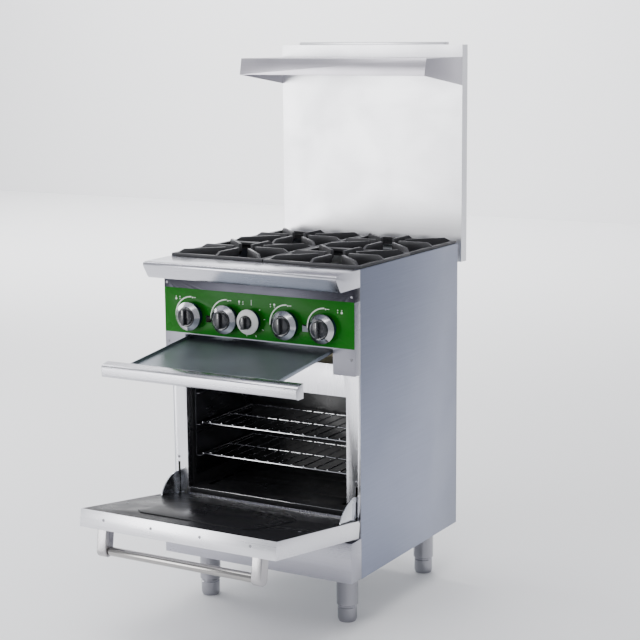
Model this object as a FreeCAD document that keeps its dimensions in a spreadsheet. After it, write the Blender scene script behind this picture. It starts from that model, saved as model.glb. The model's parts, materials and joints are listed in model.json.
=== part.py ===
import FreeCAD, Part
import os
import Sketcher

# Four-burner commercial gas range with an oven, on adjustable legs, with a
# flue riser and a high shelf behind the cooktop.  The oven door stands open on
# its stop and the drip tray is pulled out, as the rest position.
# Frame: X to the right, Y to the back, Z up, origin on the floor at the middle
# of the outline.  Depths are given from the front face of the oven frame.

doc = FreeCAD.newDocument("GasRange")
sheet = doc.addObject("Spreadsheet::Sheet", "Sizes")

# Driving sizes in millimetres, angles in degrees.
DRIVING_SIZES = [
    ("face_y", -105.75, "front face of the oven frame, from the origin"),
    ("body_width", 600, "outside width of the body"),
    ("body_depth", 587, "front frame to the rear edge of the side panels"),
    ("base_z", 145.5, "underside of the body"),
    ("deck_z", 982, "top edge of the side panels"),
    ("gauge", 1.5, "sheet thickness"),
    ("flange", 18, "width of the folded flanges"),
    ("mouth_width", 512, "clear width between the front columns"),
    ("mouth_low", 325.5, "lower edge of the oven mouth"),
    ("mouth_high", 639, "upper edge of the oven mouth"),
    ("return_depth", 18, "depth of the returns round the oven mouth"),
    ("oven_width", 500, "inside width of the oven"),
    ("oven_depth", 310, "inside depth of the oven"),
    ("oven_bottom", 263.5, "inside bottom of the burner space under the oven floor"),
    ("window_width", 480, "clear width behind the control panel"),
    ("window_low", 725, "lower edge of the tray window"),
    ("window_high", 930, "upper edge of the tray window"),
    ("kick_depth", 55, "how far the kick panel stands forward"),
    ("kick_high", 258, "top of the kick panel"),
    ("panel_proud", 30, "control panel face, forward of the oven frame"),
    ("panel_low", 773, "lower edge of the control panel"),
    ("panel_high", 935.5, "upper edge of the control panel"),
    ("ear_low", 704, "lower end of the ears beside the tray"),
    ("ear_inner", 234, "inner edge of an ear, from the middle"),
    ("fascia_low", 776, "lower edge of the coloured fascia"),
    ("fascia_high", 900, "upper edge of the coloured fascia"),
    ("fascia_thick", 1, "thickness of the fascia"),
    ("knob_z", 826, "height of the knob axes"),
    ("knob_inner", 94.5, "inner burner knobs, from the middle"),
    ("knob_outer", 210, "outer burner knobs, from the middle"),
    ("knob_oven", -17, "oven knob, from the middle"),
    ("stem_radius", 4, "valve stem radius"),
    ("stem_clear", 0.05, "running clearance round a stem or pin"),
    ("ledge_nose", 128, "front of the landing ledge"),
    ("manifold_y", 35, "manifold axis behind the oven frame"),
    ("manifold_radius", 13.35, "radius of the three quarter inch gas pipe"),
    ("supply_x", 262, "run of pipe to the rear inlet, from the middle"),
    ("riser_y", 611, "front face of the riser"),
    ("riser_depth", 35, "depth of the riser"),
    ("riser_low", 924.5, "lower edge of the riser"),
    ("riser_high", 1548.5, "upper edge of the riser"),
    ("cap_height", 8, "height of the flue cap"),
    ("shelf_y", 380, "front edge of the high shelf"),
    ("shelf_z", 1514, "top of the high shelf"),
    ("leg_x", 225, "leg axes, from the middle"),
    ("leg_front", 55, "front leg axes behind the oven frame"),
    ("leg_rear", 519, "rear leg axes behind the oven frame"),
    ("leg_radius", 29.5, "outside radius of a leg tube"),
    ("foot_radius", 26.5, "outside radius of an adjustable foot"),
    ("foot_high", 48, "height of the shoulder of a foot"),
    ("foot_stem", 21, "bore radius of a leg tube"),
    ("door_low", 14, "door bottom below the hinge axis"),
    ("door_high", 411, "door top above the hinge axis"),
    ("door_front", 26, "door outer face forward of the hinge axis"),
    ("door_back", 21.5, "door inner face behind the hinge axis"),
    ("hinge_y", -24, "hinge axis from the oven frame"),
    ("hinge_z", 290, "hinge axis height"),
    ("door_open", 81.8, "door angle at rest, from closed"),
    ("arm_radius", 84, "outside radius of a hinge arm"),
    ("arm_x", 284, "inner face of a hinge arm, from the middle"),
    ("handle_x", 238, "handle posts, from the middle"),
    ("handle_z", 380, "handle axis above the hinge axis"),
    ("handle_reach", 84, "handle axis forward of the hinge axis"),
    ("bar_radius", 12, "handle bar radius"),
    ("tray_y", -293, "front edge of the tray sheet at rest"),
    ("tray_z", 738, "height of the front edge of the tray sheet at rest"),
    ("tray_slope", 6.3, "slope of the tray and its rails"),
    ("tray_width", 456, "width of the tray sheet"),
    ("tray_length", 540, "length of the tray sheet"),
    ("tray_wall", 9.5, "height of the tray walls"),
    ("rack_width", 476, "width of an oven rack"),
    ("rack_front", 48, "front wire of a rack behind the oven frame"),
    ("rack_rear", 308, "rear wire of a rack behind the oven frame"),
    ("rack_low", 415, "lower rack height"),
    ("rack_step", 90, "spacing of the rack ledges"),
    ("grate_width", 295, "size of a grate across the range"),
    ("grate_depth", 290, "size of a grate from front to back"),
    ("grate_x", 149, "grate centres, from the middle"),
    ("grate_front", 148, "front grate centres behind the oven frame"),
    ("grate_rear", 439, "rear grate centres behind the oven frame"),
    ("grate_top", 18, "top of the grate fingers above the deck"),
]

for row, (alias, value, meaning) in enumerate(DRIVING_SIZES, start=1):
    sheet.set("A%d" % row, alias)
    sheet.set("B%d" % row, str(value))
    sheet.set("C%d" % row, meaning)
    sheet.setAlias("B%d" % row, alias)
doc.recompute()


class Size:
    """A length that keeps both its number and its spreadsheet formula."""

    def __init__(self, text, value):
        self.text = text
        self.value = value

    def __add__(self, other):
        other = as_size(other)
        return Size("(%s + %s)" % (self.text, other.text), self.value + other.value)

    def __radd__(self, other):
        return as_size(other) + self

    def __sub__(self, other):
        other = as_size(other)
        return Size("(%s - %s)" % (self.text, other.text), self.value - other.value)

    def __rsub__(self, other):
        return as_size(other) - self

    def __mul__(self, other):
        other = as_size(other)
        return Size("(%s * %s)" % (self.text, other.text), self.value * other.value)

    def __rmul__(self, other):
        return as_size(other) * self

    def __truediv__(self, other):
        other = as_size(other)
        return Size("(%s / %s)" % (self.text, other.text), self.value / other.value)

    def __neg__(self):
        return Size("(0 - %s)" % self.text, -self.value)


def as_size(number):
    if isinstance(number, Size):
        return number
    return Size("(%r)" % float(number), float(number))


def dim(alias):
    """The spreadsheet cell with this alias."""
    return Size("Sizes." + alias, float(sheet.get(alias)))


def bind(thing, prop, size):
    thing.setExpression(prop, as_size(size).text)


def put_at(thing, x=0, y=0, z=0):
    bind(thing, "Placement.Base.x", x)
    bind(thing, "Placement.Base.y", y)
    bind(thing, "Placement.Base.z", z)
    return thing


face = dim("face_y")
half = dim("body_width") / 2
depth = dim("body_depth")
base_z = dim("base_z")
deck_z = dim("deck_z")
gauge = dim("gauge")
flange = dim("flange")
SIDES = (("left", -1), ("right", 1))


def deep(front, back):
    """A span in Y, both ends given from the face of the oven frame."""
    return (face + front, face + back)


def centred(width):
    """A span of this width about the middle of the range."""
    return (-as_size(width) / 2, as_size(width) / 2)


def on_side(side, inner, outer):
    """A span in X from inner to outer, on the left (-1) or the right (1)."""
    if side < 0:
        return (-as_size(outer), -as_size(inner))
    return (as_size(inner), as_size(outer))


finished = {}


def finish(label, thing):
    """Name a finished sub-part: its label is its file name."""
    thing.Label = label
    finished[label] = thing
    return thing


def box(x, y, z):
    """A block between three spans."""
    block = doc.addObject("Part::Box", "Block")
    bind(block, "Length", as_size(x[1]) - x[0])
    bind(block, "Width", as_size(y[1]) - y[0])
    bind(block, "Height", as_size(z[1]) - z[0])
    return put_at(block, x[0], y[0], z[0])


AXIS_TURN = {
    "x": FreeCAD.Rotation(FreeCAD.Vector(0, 1, 0), 90),
    "y": FreeCAD.Rotation(FreeCAD.Vector(1, 0, 0), -90),
    "z": FreeCAD.Rotation(),
}


def cylinder(axis, radius, span, first, second):
    """A round bar along an axis.  first and second are its other two
    coordinates, in X, Y, Z order."""
    bar = doc.addObject("Part::Cylinder", "Bar")
    bar.Placement = FreeCAD.Placement(FreeCAD.Vector(), AXIS_TURN[axis])
    bind(bar, "Radius", radius)
    bind(bar, "Height", as_size(span[1]) - span[0])
    if axis == "x":
        return put_at(bar, span[0], first, second)
    if axis == "y":
        return put_at(bar, first, span[0], second)
    return put_at(bar, first, second, span[0])


def fuse(*pieces):
    if len(pieces) == 1:
        return pieces[0]
    joined = doc.addObject("Part::MultiFuse", "Joined")
    joined.Shapes = list(pieces)
    return joined


def cut(base, *tools):
    difference = doc.addObject("Part::Cut", "Difference")
    difference.Base = base
    difference.Tool = fuse(*tools)
    return difference


def group(*pieces):
    """Separate solids that share one node."""
    together = doc.addObject("Part::Compound", "Group")
    together.Links = list(pieces)
    return together


def plane_of(body, role):
    for feature in body.Origin.OriginFeatures:
        if feature.Role == role:
            return feature
    raise ValueError(role)


def outline_sketch(body, role, points, offset=0, turn=None):
    """A closed outline of straight edges on one of the body's planes, every
    corner tied to the spreadsheet."""
    sketch = body.newObject("Sketcher::SketchObject", "Outline")
    sketch.AttachmentSupport = [(plane_of(body, role), "")]
    sketch.MapMode = "FlatFace"
    if turn is not None:
        sketch.AttachmentOffset = FreeCAD.Placement(FreeCAD.Vector(), turn)
    bind(sketch, "AttachmentOffset.Base.z", offset)
    corners = [(as_size(a), as_size(b)) for a, b in points]
    count = len(corners)
    for index in range(count):
        here = corners[index]
        after = corners[(index + 1) % count]
        start = FreeCAD.Vector(here[0].value, here[1].value, 0)
        end = FreeCAD.Vector(after[0].value, after[1].value, 0)
        sketch.addGeometry(Part.LineSegment(start, end))
    for index in range(count):
        sketch.addConstraint(Sketcher.Constraint("Coincident", index, 2, (index + 1) % count, 1))
    for index, corner in enumerate(corners):
        for kind, size in zip(("DistanceX", "DistanceY"), corner):
            number = sketch.addConstraint(Sketcher.Constraint(kind, -1, 1, index, 1, size.value))
            sketch.setExpression("Constraints[%d]" % number, size.text)
    return sketch


def pad(body, sketch, length, name="Pad"):
    """Pad an outline equally to both sides of its plane."""
    feature = body.newObject("PartDesign::" + name, name)
    feature.Profile = sketch
    feature.Midplane = True
    bind(feature, "Length", length)
    return feature


def new_body():
    return doc.addObject("PartDesign::Body", "Body")


def extrusion(role, points, length, offset=0):
    """A body made by padding one outline about an offset plane."""
    body = new_body()
    pad(body, outline_sketch(body, role, points, offset), length)
    return body


def turned(points):
    """A body turned about the Z axis from half an outline of (radius, z)."""
    body = new_body()
    sketch = outline_sketch(body, "XZ_Plane", points)
    feature = body.newObject("PartDesign::Revolution", "Revolution")
    feature.Profile = sketch
    feature.ReferenceAxis = (sketch, ["V_Axis"])
    feature.Angle = 360
    return body


# ---------------------------------------------------------------- body shell
# Side panels: stainless sheet, folded inwards at the top, bottom and rear.
for name, side in SIDES:
    blank = box(on_side(side, half - flange, half), deep(0, depth), (base_z, deck_z))
    inside = box(
        on_side(side, half - flange - 1, half - gauge),
        deep(-1, depth - gauge),
        (base_z + gauge, deck_z - gauge),
    )
    finish(name + "_side_panel", cut(blank, inside))

inner_half = half - gauge
shell_low = base_z + gauge
shell_high = deck_z - gauge
supply_x = dim("supply_x")
knob_z = dim("knob_z")
manifold_y = dim("manifold_y")
pipe = dim("manifold_radius")
duct_half = 138
duct_low = 928
duct_high = 960
stack_high = 962

# Rear panel, behind the works, with holes for the flue and the gas pipe.
rear_sheet = box(
    (-inner_half, inner_half),
    deep(depth - 2 * gauge, depth - gauge),
    (shell_low, shell_high),
)
finish("rear_panel", cut(
    rear_sheet,
    box((-duct_half, duct_half), deep(depth - 10, depth), (duct_low, duct_high)),
    cylinder("y", pipe + 2, deep(depth - 10, depth), supply_x, knob_z),
))

# Base pan with a raised rim, holes for the leg studs and two spring tabs.
leg_x = dim("leg_x")
leg_spots = [
    (side * leg_x, face + dim(row)) for row in ("leg_front", "leg_rear") for side in (-1, 1)
]
stud_radius = 8
pan_half = inner_half - gauge
pan_block = box((-pan_half, pan_half), deep(gauge, depth - 2 * gauge), (shell_low, shell_low + 18))
pan_space = box(
    (-pan_half + gauge, pan_half - gauge),
    deep(2 * gauge, depth - 3 * gauge),
    (shell_low + 2, shell_low + 20),
)
stud_holes = [
    cylinder("z", stud_radius + 0.2, (shell_low - 1, shell_low + 3), x, y) for x, y in leg_spots
]
spring_x = dim("arm_x") + 1.5
spring_y = 24
tabs = [
    box(on_side(side, spring_x - 2, spring_x + 2), deep(spring_y - 6, spring_y + 6),
        (shell_low + 2, shell_low + 18))
    for name, side in SIDES
]
finish("base_pan", fuse(cut(pan_block, pan_space, *stud_holes), *tabs))

# Front frame: two columns joined by rails, with a return round the oven mouth
# and a tall slot in each column for the hinge arm of the door.
mouth_half = dim("mouth_width") / 2
mouth_low = dim("mouth_low")
mouth_high = dim("mouth_high")
return_end = gauge + dim("return_depth")
frame_plate = box((-inner_half, inner_half), deep(0, gauge), (shell_low, shell_high))
mouth = box((-mouth_half, mouth_half), deep(-1, 5), (mouth_low, mouth_high))
window_half = dim("window_width") / 2
window = box((-window_half, window_half), deep(-1, 5), (dim("window_low"), dim("window_high")))
slots = [
    box(on_side(side, dim("arm_x") - 2, dim("arm_x") + 5), deep(-1, 5), (264, 397))
    for name, side in SIDES
]
mouth_return = cut(
    box((-mouth_half - gauge, mouth_half + gauge), deep(gauge, return_end),
        (mouth_low, mouth_high + gauge)),
    box((-mouth_half, mouth_half), deep(0, return_end + 1), (mouth_low - 1, mouth_high)),
)
column_returns = [
    box(on_side(side, pan_half, inner_half), deep(gauge, 30), (shell_low, shell_high))
    for name, side in SIDES
]
finish("front_frame", fuse(cut(frame_plate, mouth, window, *slots), mouth_return, *column_returns))

# Kick panel below the door, boxed back to the front frame.
kick_depth = dim("kick_depth")
kick_high = dim("kick_high")
finish("kick_panel", cut(
    box((-half, half), deep(-kick_depth, 0), (shell_low, kick_high)),
    box((-inner_half, inner_half), deep(gauge - kick_depth, 1), (shell_low - 1, kick_high - gauge)),
))

# ---------------------------------------------------------------------- oven
# Enamelled liner: walls, top, back and the bottom of the burner space, with a
# narrow flange behind the mouth returns and a flue opening high in the back.
oven_half = dim("oven_width") / 2
oven_front = return_end
oven_back = return_end + dim("oven_depth")
oven_bottom = dim("oven_bottom")
throat_half = 58
throat_low = 590
throat_high = 628
liner_block = box(
    (-oven_half - gauge, oven_half + gauge),
    deep(oven_front, oven_back + gauge),
    (oven_bottom - gauge, mouth_high + gauge),
)
liner_flange = box(
    (-mouth_half - gauge, mouth_half + gauge),
    deep(oven_front, oven_front + gauge),
    (mouth_low, mouth_high + gauge),
)
liner_space = box((-oven_half, oven_half), deep(oven_front - 1, oven_back), (oven_bottom, mouth_high))
liner_throat = box(
    (-throat_half, throat_half), deep(oven_back - 1, oven_back + 5), (throat_low, throat_high)
)
air_slots = [
    box((x - 60, x + 60), deep(y, y + 30), (oven_bottom - 5, oven_bottom + 1))
    for x in (-120, 120) for y in (90, 210)
]
finish("oven_liner", cut(fuse(liner_block, liner_flange), liner_space, liner_throat, *air_slots))

# Lift-out oven floor: heat slots along both sides and a lip folded down over
# the front rail.
floor_half = oven_half - 0.5
floor_plate = box((-floor_half, floor_half), deep(-gauge, oven_back - 2), (mouth_low, mouth_low + gauge))
floor_lip = box((-floor_half, floor_half), deep(-gauge, 0), (mouth_low - 13.5, mouth_low + gauge))
heat_slots = [
    box(on_side(side, 210, 224), deep(y, y + 50), (mouth_low - 1, mouth_low + 3))
    for name, side in SIDES for y in (50, 120, 190, 260)
]
finish("oven_floor", cut(fuse(floor_plate, floor_lip), *heat_slots))

# Rack guides: a pressed sheet on each side wall with three ledges.
rack_low = dim("rack_low")
rack_step = dim("rack_step")
wire = 3
guides = []
for name, side in SIDES:
    sheet_part = box(
        on_side(side, oven_half - gauge, oven_half),
        deep(oven_front + 14, oven_back - 5),
        (rack_low - 60, rack_low + 2 * rack_step + 20),
    )
    ledges = [
        box(
            on_side(side, oven_half - 16, oven_half - gauge),
            deep(oven_front + 14, oven_back - 5),
            (rack_low - wire - gauge + level * rack_step, rack_low - wire + level * rack_step),
        )
        for level in range(3)
    ]
    guides.append(fuse(sheet_part, *ledges))
finish("rack_guides", group(*guides))

# Mineral wool: a blanket over the sides and top, and a slab behind the liner.
wool_front = 95
blanket = cut(
    box((-half + 4, half - 4), deep(wool_front, oven_back + gauge), (200, 690)),
    box((-oven_half - 2, oven_half + 2), deep(wool_front - 1, oven_back + 5), (199, mouth_high + 2)),
)
slab = cut(
    box((-oven_half, oven_half), deep(oven_back + 2, oven_back + 42), (270, mouth_high)),
    box((-throat_half - 4, throat_half + 4), deep(oven_back, oven_back + 50),
        (throat_low - 4, throat_high + 4)),
)
finish("oven_insulation", group(blanket, slab))

# Oven burner: one ported tube under the oven floor, open at its front end.
burner_z = 295
finish("oven_burner", cut(
    cylinder("y", 14, deep(26, oven_back - 14), 0, burner_z),
    cylinder("y", 11.5, deep(25, oven_back - 20), 0, burner_z),
))



def walls_round(x, y, z):
    """Four welded sheets round a passage that runs along Y."""
    outside = (x[0] - gauge, x[1] + gauge)
    return [
        box(outside, y, (z[0] - gauge, z[0])),
        box(outside, y, (z[1], z[1] + gauge)),
        box((x[0] - gauge, x[0]), y, z),
        box((x[1], x[1] + gauge), y, z),
    ]


# Flue duct of welded sheets: a throat from the back of the oven, a stack and a
# wide outlet into the riser.
stack_front = 524
stack_back = 582
stack_low = throat_low - gauge
throat_x = (-throat_half, throat_half)
throat_z = (throat_low, throat_high)
outlet_x = (gauge - duct_half, duct_half - gauge)
outlet_z = (duct_low + gauge, duct_high - gauge)
stack_span = (-duct_half - gauge, duct_half + gauge)
finish("flue_duct", group(
    *walls_round(throat_x, deep(oven_back + gauge, stack_front), throat_z),
    cut(
        box(stack_span, deep(stack_front, stack_front + gauge), (stack_low, stack_high)),
        box(throat_x, deep(stack_front - 1, stack_front + 5), throat_z),
    ),
    *walls_round((-duct_half, duct_half), deep(stack_front + gauge, stack_back - gauge),
                 (throat_low, stack_high - gauge)),
    cut(
        box(stack_span, deep(stack_back - gauge, stack_back), (stack_low, stack_high)),
        box(outlet_x, deep(stack_back - 5, stack_back + 1), outlet_z),
    ),
    *walls_round(outlet_x, deep(stack_back, dim("riser_y")), outlet_z),
))

# ------------------------------------------------------------------ controls
# Control panel: boxed sheet with an ear at each end beside the drip tray.
proud = dim("panel_proud")
panel_low = dim("panel_low")
panel_high = dim("panel_high")
ear_low = dim("ear_low")
ear_inner = dim("ear_inner")
knob_inner = dim("knob_inner")
knob_outer = dim("knob_outer")
knob_oven = dim("knob_oven")
BURNER_KNOBS = [-knob_outer, -knob_inner, knob_inner, knob_outer]
panel_blank = box((-half, half), deep(-proud, 0), (panel_low, panel_high))
panel_inside = box(
    (-inner_half, inner_half), deep(gauge - proud, 1), (panel_low + gauge, panel_high + 1)
)
ears = []
for name, side in SIDES:
    ears.append(box(on_side(side, ear_inner, half), deep(-proud, gauge - proud), (ear_low, panel_low)))
    ears.append(box(on_side(side, inner_half, half), deep(gauge - proud, 0), (ear_low, panel_low)))


def panel_openings():
    """Stem holes and the two square lighting ports between the knobs."""
    stems = [
        cylinder("y", 6.5, deep(-proud - 5, 5 - proud), x, knob_z)
        for x in BURNER_KNOBS + [knob_oven]
    ]
    ports = [
        box((x - 11, x + 11), deep(-proud - 5, 5 - proud), (knob_z - 15, knob_z + 4))
        for x in (-(knob_inner + knob_outer) / 2, (knob_inner + knob_outer) / 2)
    ]
    return stems + ports


finish("control_panel", fuse(cut(panel_blank, panel_inside, *panel_openings()), *ears))

fascia_front = -proud - dim("fascia_thick")
finish("control_fascia", cut(
    box((-half + 1, half - 1), deep(fascia_front, -proud), (dim("fascia_low"), dim("fascia_high"))),
    *panel_openings()
))

# Landing ledge: a hollow bull nose of folded sheet with closed ends.
nose = dim("ledge_nose")
ledge_outline = [
    (face, deck_z),
    (face - nose + 9, deck_z),
    (face - nose + 3, deck_z - 2.5),
    (face - nose, deck_z - 9),
    (face - nose + 19, panel_high + 7),
    (face - nose + 26, panel_high),
    (face, panel_high),
]
ledge_hollow = [
    (face + 1, deck_z - gauge),
    (face - nose + 9.5, deck_z - gauge),
    (face - nose + 4, deck_z - 3.8),
    (face - nose + 1.6, deck_z - 9.5),
    (face - nose + 20.3, panel_high + 8),
    (face - nose + 26.5, panel_high + gauge),
    (face + 1, panel_high + gauge),
]
ledge = extrusion("YZ_Plane", ledge_outline, 2 * half)
pad(ledge, outline_sketch(ledge, "YZ_Plane", ledge_hollow), 2 * inner_half, "Pocket")
finish("landing_ledge", ledge)

# Gas manifold behind the panel, turned back along the right side to the rear
# inlet: a coupling and a short threaded end stand out behind.
manifold_run = cylinder("x", pipe, (-supply_x, supply_x), face + manifold_y, knob_z)
supply_run = cylinder("y", pipe, deep(manifold_y, depth + 53), supply_x, knob_z)
coupling = cylinder("y", pipe + 4, deep(depth + 3, depth + 25), supply_x, knob_z)
elbow = doc.addObject("Part::Sphere", "Elbow")
bind(elbow, "Radius", pipe + 3)
put_at(elbow, supply_x, face + manifold_y, knob_z)
finish("gas_manifold", fuse(manifold_run, supply_run, coupling, elbow))

# Burner valves: body against the manifold, stem bore forward, jet to the rear.
valve_front = -14
stem = dim("stem_radius")
stem_clear = dim("stem_clear")
jet_z = knob_z + 27
valves = []
for x in BURNER_KNOBS:
    casting = fuse(
        box((x - 11, x + 11), deep(-6, manifold_y - pipe), (knob_z - 13, knob_z + 13)),
        box((x - 9, x + 9), deep(-2, 16), (knob_z + 10, jet_z + 9)),
        cylinder("y", 9, deep(valve_front, 0), x, knob_z),
        cylinder("y", 5, deep(10, 64), x, jet_z),
    )
    valves.append(cut(casting, cylinder("y", stem + stem_clear, deep(-20, 4), x, knob_z)))
finish("burner_valves", group(*valves))

# Oven thermostat, beside them.
finish("oven_thermostat", cut(
    fuse(
        box((knob_oven - 27, knob_oven + 27), deep(-8, manifold_y - pipe), (knob_z - 27, knob_z + 27)),
        cylinder("y", 13, deep(valve_front, 0), knob_oven, knob_z),
    ),
    cylinder("y", stem + stem_clear, deep(-20, 4), knob_oven, knob_z),
))

# Gas pipe from the thermostat, down the left column to the oven burner.
feed_x = -268
feed_y = 8
feed_z = knob_z - 22
feed = 4
feed_run = [
    cylinder("x", feed, (feed_x, knob_oven - 27), face + feed_y, feed_z),
    cylinder("z", feed, (burner_z, feed_z), feed_x, face + feed_y),
    cylinder("x", feed, (feed_x, 0), face + feed_y, burner_z),
    cylinder("y", feed, deep(feed_y - feed, 34), 0, burner_z),
]
for x, z in ((feed_x, burner_z), (feed_x, feed_z)):
    knuckle = doc.addObject("Part::Sphere", "Knuckle")
    bind(knuckle, "Radius", feed + 2)
    feed_run.append(put_at(knuckle, x, face + feed_y, z))
finish("oven_gas_pipe", fuse(*feed_run))

# ------------------------------------------------------------- knobs, stems
# A knob is turned to its skirt and grip, then gets a finger bar across it.
knob_face = face + fascia_front
knob_plan = [
    ("burner_knob_1", BURNER_KNOBS[0], 39.5, 24),
    ("burner_knob_2", BURNER_KNOBS[1], 39.5, 24),
    ("oven_knob", knob_oven, 34, 22),
    ("burner_knob_3", BURNER_KNOBS[2], 39.5, 24),
    ("burner_knob_4", BURNER_KNOBS[3], 39.5, 24),
]
knob_deep = 30
skirt_step = 4
for label, x, rim, grip in knob_plan:
    knob = new_body()
    side_view = [
        (stem, 0.6), (rim - skirt_step, 0.6), (rim - skirt_step, 16), (rim, 17.5), (rim, 20),
        (grip + 4, knob_deep - 1), (grip, knob_deep - 1), (grip, knob_deep + 6),
        (0, knob_deep + 6), (0, knob_deep - 2), (stem, knob_deep - 2),
    ]
    sketch = outline_sketch(knob, "XZ_Plane", side_view)
    spin = knob.newObject("PartDesign::Revolution", "Revolution")
    spin.Profile = sketch
    spin.ReferenceAxis = (sketch, ["V_Axis"])
    spin.Angle = 360
    bar_view = [(-7, -grip + 1), (7, -grip + 1), (7, grip - 1), (-7, grip - 1)]
    pad(knob, outline_sketch(knob, "XY_Plane", bar_view, knob_deep + 11), 12)
    knob.Placement = FreeCAD.Placement(FreeCAD.Vector(), FreeCAD.Rotation(FreeCAD.Vector(1, 0, 0), 90))
    finish(label, put_at(knob, x, knob_face, knob_z))
    reach = knob_face - (knob_deep - 2)
    finish(label.replace("knob", "stem"), cylinder("y", stem, (reach, face - 1), x, knob_z))

# ------------------------------------------------------------------ cooktop
# Rails at deck height that carry the grates.
rail = 16
rail_low = deck_z - 12
ring_half = half - flange
rails = cut(
    box((-ring_half, ring_half), deep(gauge, depth - 2 * gauge), (rail_low, deck_z)),
    box((-ring_half + rail, ring_half - rail), deep(gauge + rail, depth - 2 * gauge - rail),
        (rail_low - 1, deck_z + 1)),
)
middle = (dim("grate_front") + dim("grate_rear")) / 2
cross_rail = box((-ring_half + 1, ring_half - 1), deep(middle - 8, middle + 8), (rail_low, deck_z))
long_rail = box((-8, 8), deep(2 * gauge, depth - 3 * gauge), (rail_low, deck_z))
finish("cooktop_frame", fuse(rails, cross_rail, long_rail))

# Four cast burners, each a bowl on a neck and a venturi tube over its jet.
grate_x = dim("grate_x")
grate_rows = {"front": dim("grate_front"), "rear": dim("grate_rear")}
bowl_low = 905
head_low = 928
castings = []
heads = []
for row, jet_x in (("front", knob_inner), ("rear", knob_outer)):
    centre_y = grate_rows[row]
    for name, side in SIDES:
        neck = box(
            on_side(side, 84, 160) if row == "front" else on_side(side, 138, 221),
            deep(centre_y - 17, centre_y + 17),
            (jet_z - 12, bowl_low + 4),
        )
        tube = cylinder("y", 12, deep(58, centre_y + 4), side * jet_x, jet_z)
        bowl = cylinder("z", 48, (bowl_low, head_low), side * grate_x, face + centre_y)
        bore = cylinder("y", 9, deep(57, centre_y - 20), side * jet_x, jet_z)
        castings.append(cut(fuse(tube, neck, bowl), bore))
        heads.append(put_at(
            turned([(0, 0), (44, 0), (44, 12), (36, 19), (14, 22), (0, 22)]),
            side * grate_x, face + centre_y, head_low,
        ))
finish("top_burners", group(*castings))
finish("burner_heads", group(*heads))

# Standing pilots between the burners, fed from the manifold.
pilot_x = 60
pilot_z = 872
pilots = []
for name, side in SIDES:
    pilots.append(fuse(
        cylinder("z", 4, (knob_z + pipe, pilot_z + 5), side * pilot_x, face + manifold_y),
        cylinder("y", 3, deep(manifold_y, middle), side * pilot_x, pilot_z),
        cylinder("z", 4, (pilot_z - 5, 925), side * pilot_x, face + middle),
        cylinder("z", 6, (925, 937), side * pilot_x, face + middle),
    ))
finish("pilot_burners", group(*pilots))

# Cast-iron grates: a low square frame with four straight and four corner
# fingers, tall towards the middle and sloped at their outer ends.
grate_top = dim("grate_top")
grate_w = dim("grate_width") / 2
grate_d = dim("grate_depth") / 2


def finger(body, reach, inner, turn_angle):
    """One finger from the frame towards the middle, then four of them."""
    side_view = [
        (reach, 0), (reach, 8), (reach - 18, grate_top), (inner, grate_top),
        (inner, -2), (inner + 28, -17), (reach - 30, -17), (reach - 30, 0),
    ]
    sketch = outline_sketch(body, "XZ_Plane", side_view, 0,
                            FreeCAD.Rotation(FreeCAD.Vector(0, 1, 0), turn_angle))
    return pad(body, sketch, 8)


for row, centre_y in grate_rows.items():
    for name, side in SIDES:
        grate = new_body()
        pad(grate, outline_sketch(grate, "XY_Plane", [
            (-grate_w, -grate_d), (grate_w, -grate_d), (grate_w, grate_d), (-grate_w, grate_d)], 4), 8)
        window_view = [
            (12 - grate_w, 12 - grate_d), (grate_w - 12, 12 - grate_d),
            (grate_w - 12, grate_d - 12), (12 - grate_w, grate_d - 12)]
        pad(grate, outline_sketch(grate, "XY_Plane", window_view, 4), 10, "Pocket")
        for reach, inner, angle in ((grate_d - 0.5, 36, 0), (190, 54, 45)):
            finger(grate, reach, inner, angle)
            fingers = grate.newObject("PartDesign::PolarPattern", "Fingers")
            fingers.Originals = [grate.Group[-2]]
            fingers.Axis = (plane_of(grate, "Z_Axis"), [""])
            fingers.Angle = 360
            fingers.Occurrences = 4
            grate.Tip = fingers
        finish("%s_%s_grate" % (row, name), put_at(grate, side * grate_x, face + centre_y, deck_z))

# ------------------------------------------------------------ riser and shelf
# Riser: front and back sheets with sides welded between them, open at the top
# between two flanges, on two spacers behind the body.
riser_y = dim("riser_y")
riser_depth = dim("riser_depth")
riser_low = dim("riser_low")
riser_high = dim("riser_high")
riser_inside = deep(riser_y + gauge, riser_y + riser_depth - gauge)
riser_top = (riser_high - gauge, riser_high)
vent_half = 236
vent_front = 8
vent_rear = riser_depth - 7
riser_sheets = [
    cut(
        box((-half, half), deep(riser_y, riser_y + gauge), (riser_low, riser_high)),
        box(outlet_x, deep(riser_y - 1, riser_y + 5), outlet_z),
    ),
    box((-half, half), deep(riser_y + riser_depth - gauge, riser_y + riser_depth), (riser_low, riser_high)),
    box((-inner_half, inner_half), riser_inside, (riser_low, riser_low + gauge)),
    box((-inner_half, inner_half), deep(riser_y + gauge, riser_y + vent_front), riser_top),
    box((-inner_half, inner_half), deep(riser_y + vent_rear, riser_y + riser_depth - gauge), riser_top),
]
for name, side in SIDES:
    riser_sheets.append(box(on_side(side, inner_half, half), riser_inside, (riser_low, riser_high)))
    riser_sheets.append(box(on_side(side, vent_half, inner_half),
                            deep(riser_y + vent_front, riser_y + vent_rear), riser_top))
    riser_sheets.append(box(on_side(side, 190, 270), deep(depth - gauge, riser_y), (942, 968)))
finish("flue_riser", group(*riser_sheets))

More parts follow.
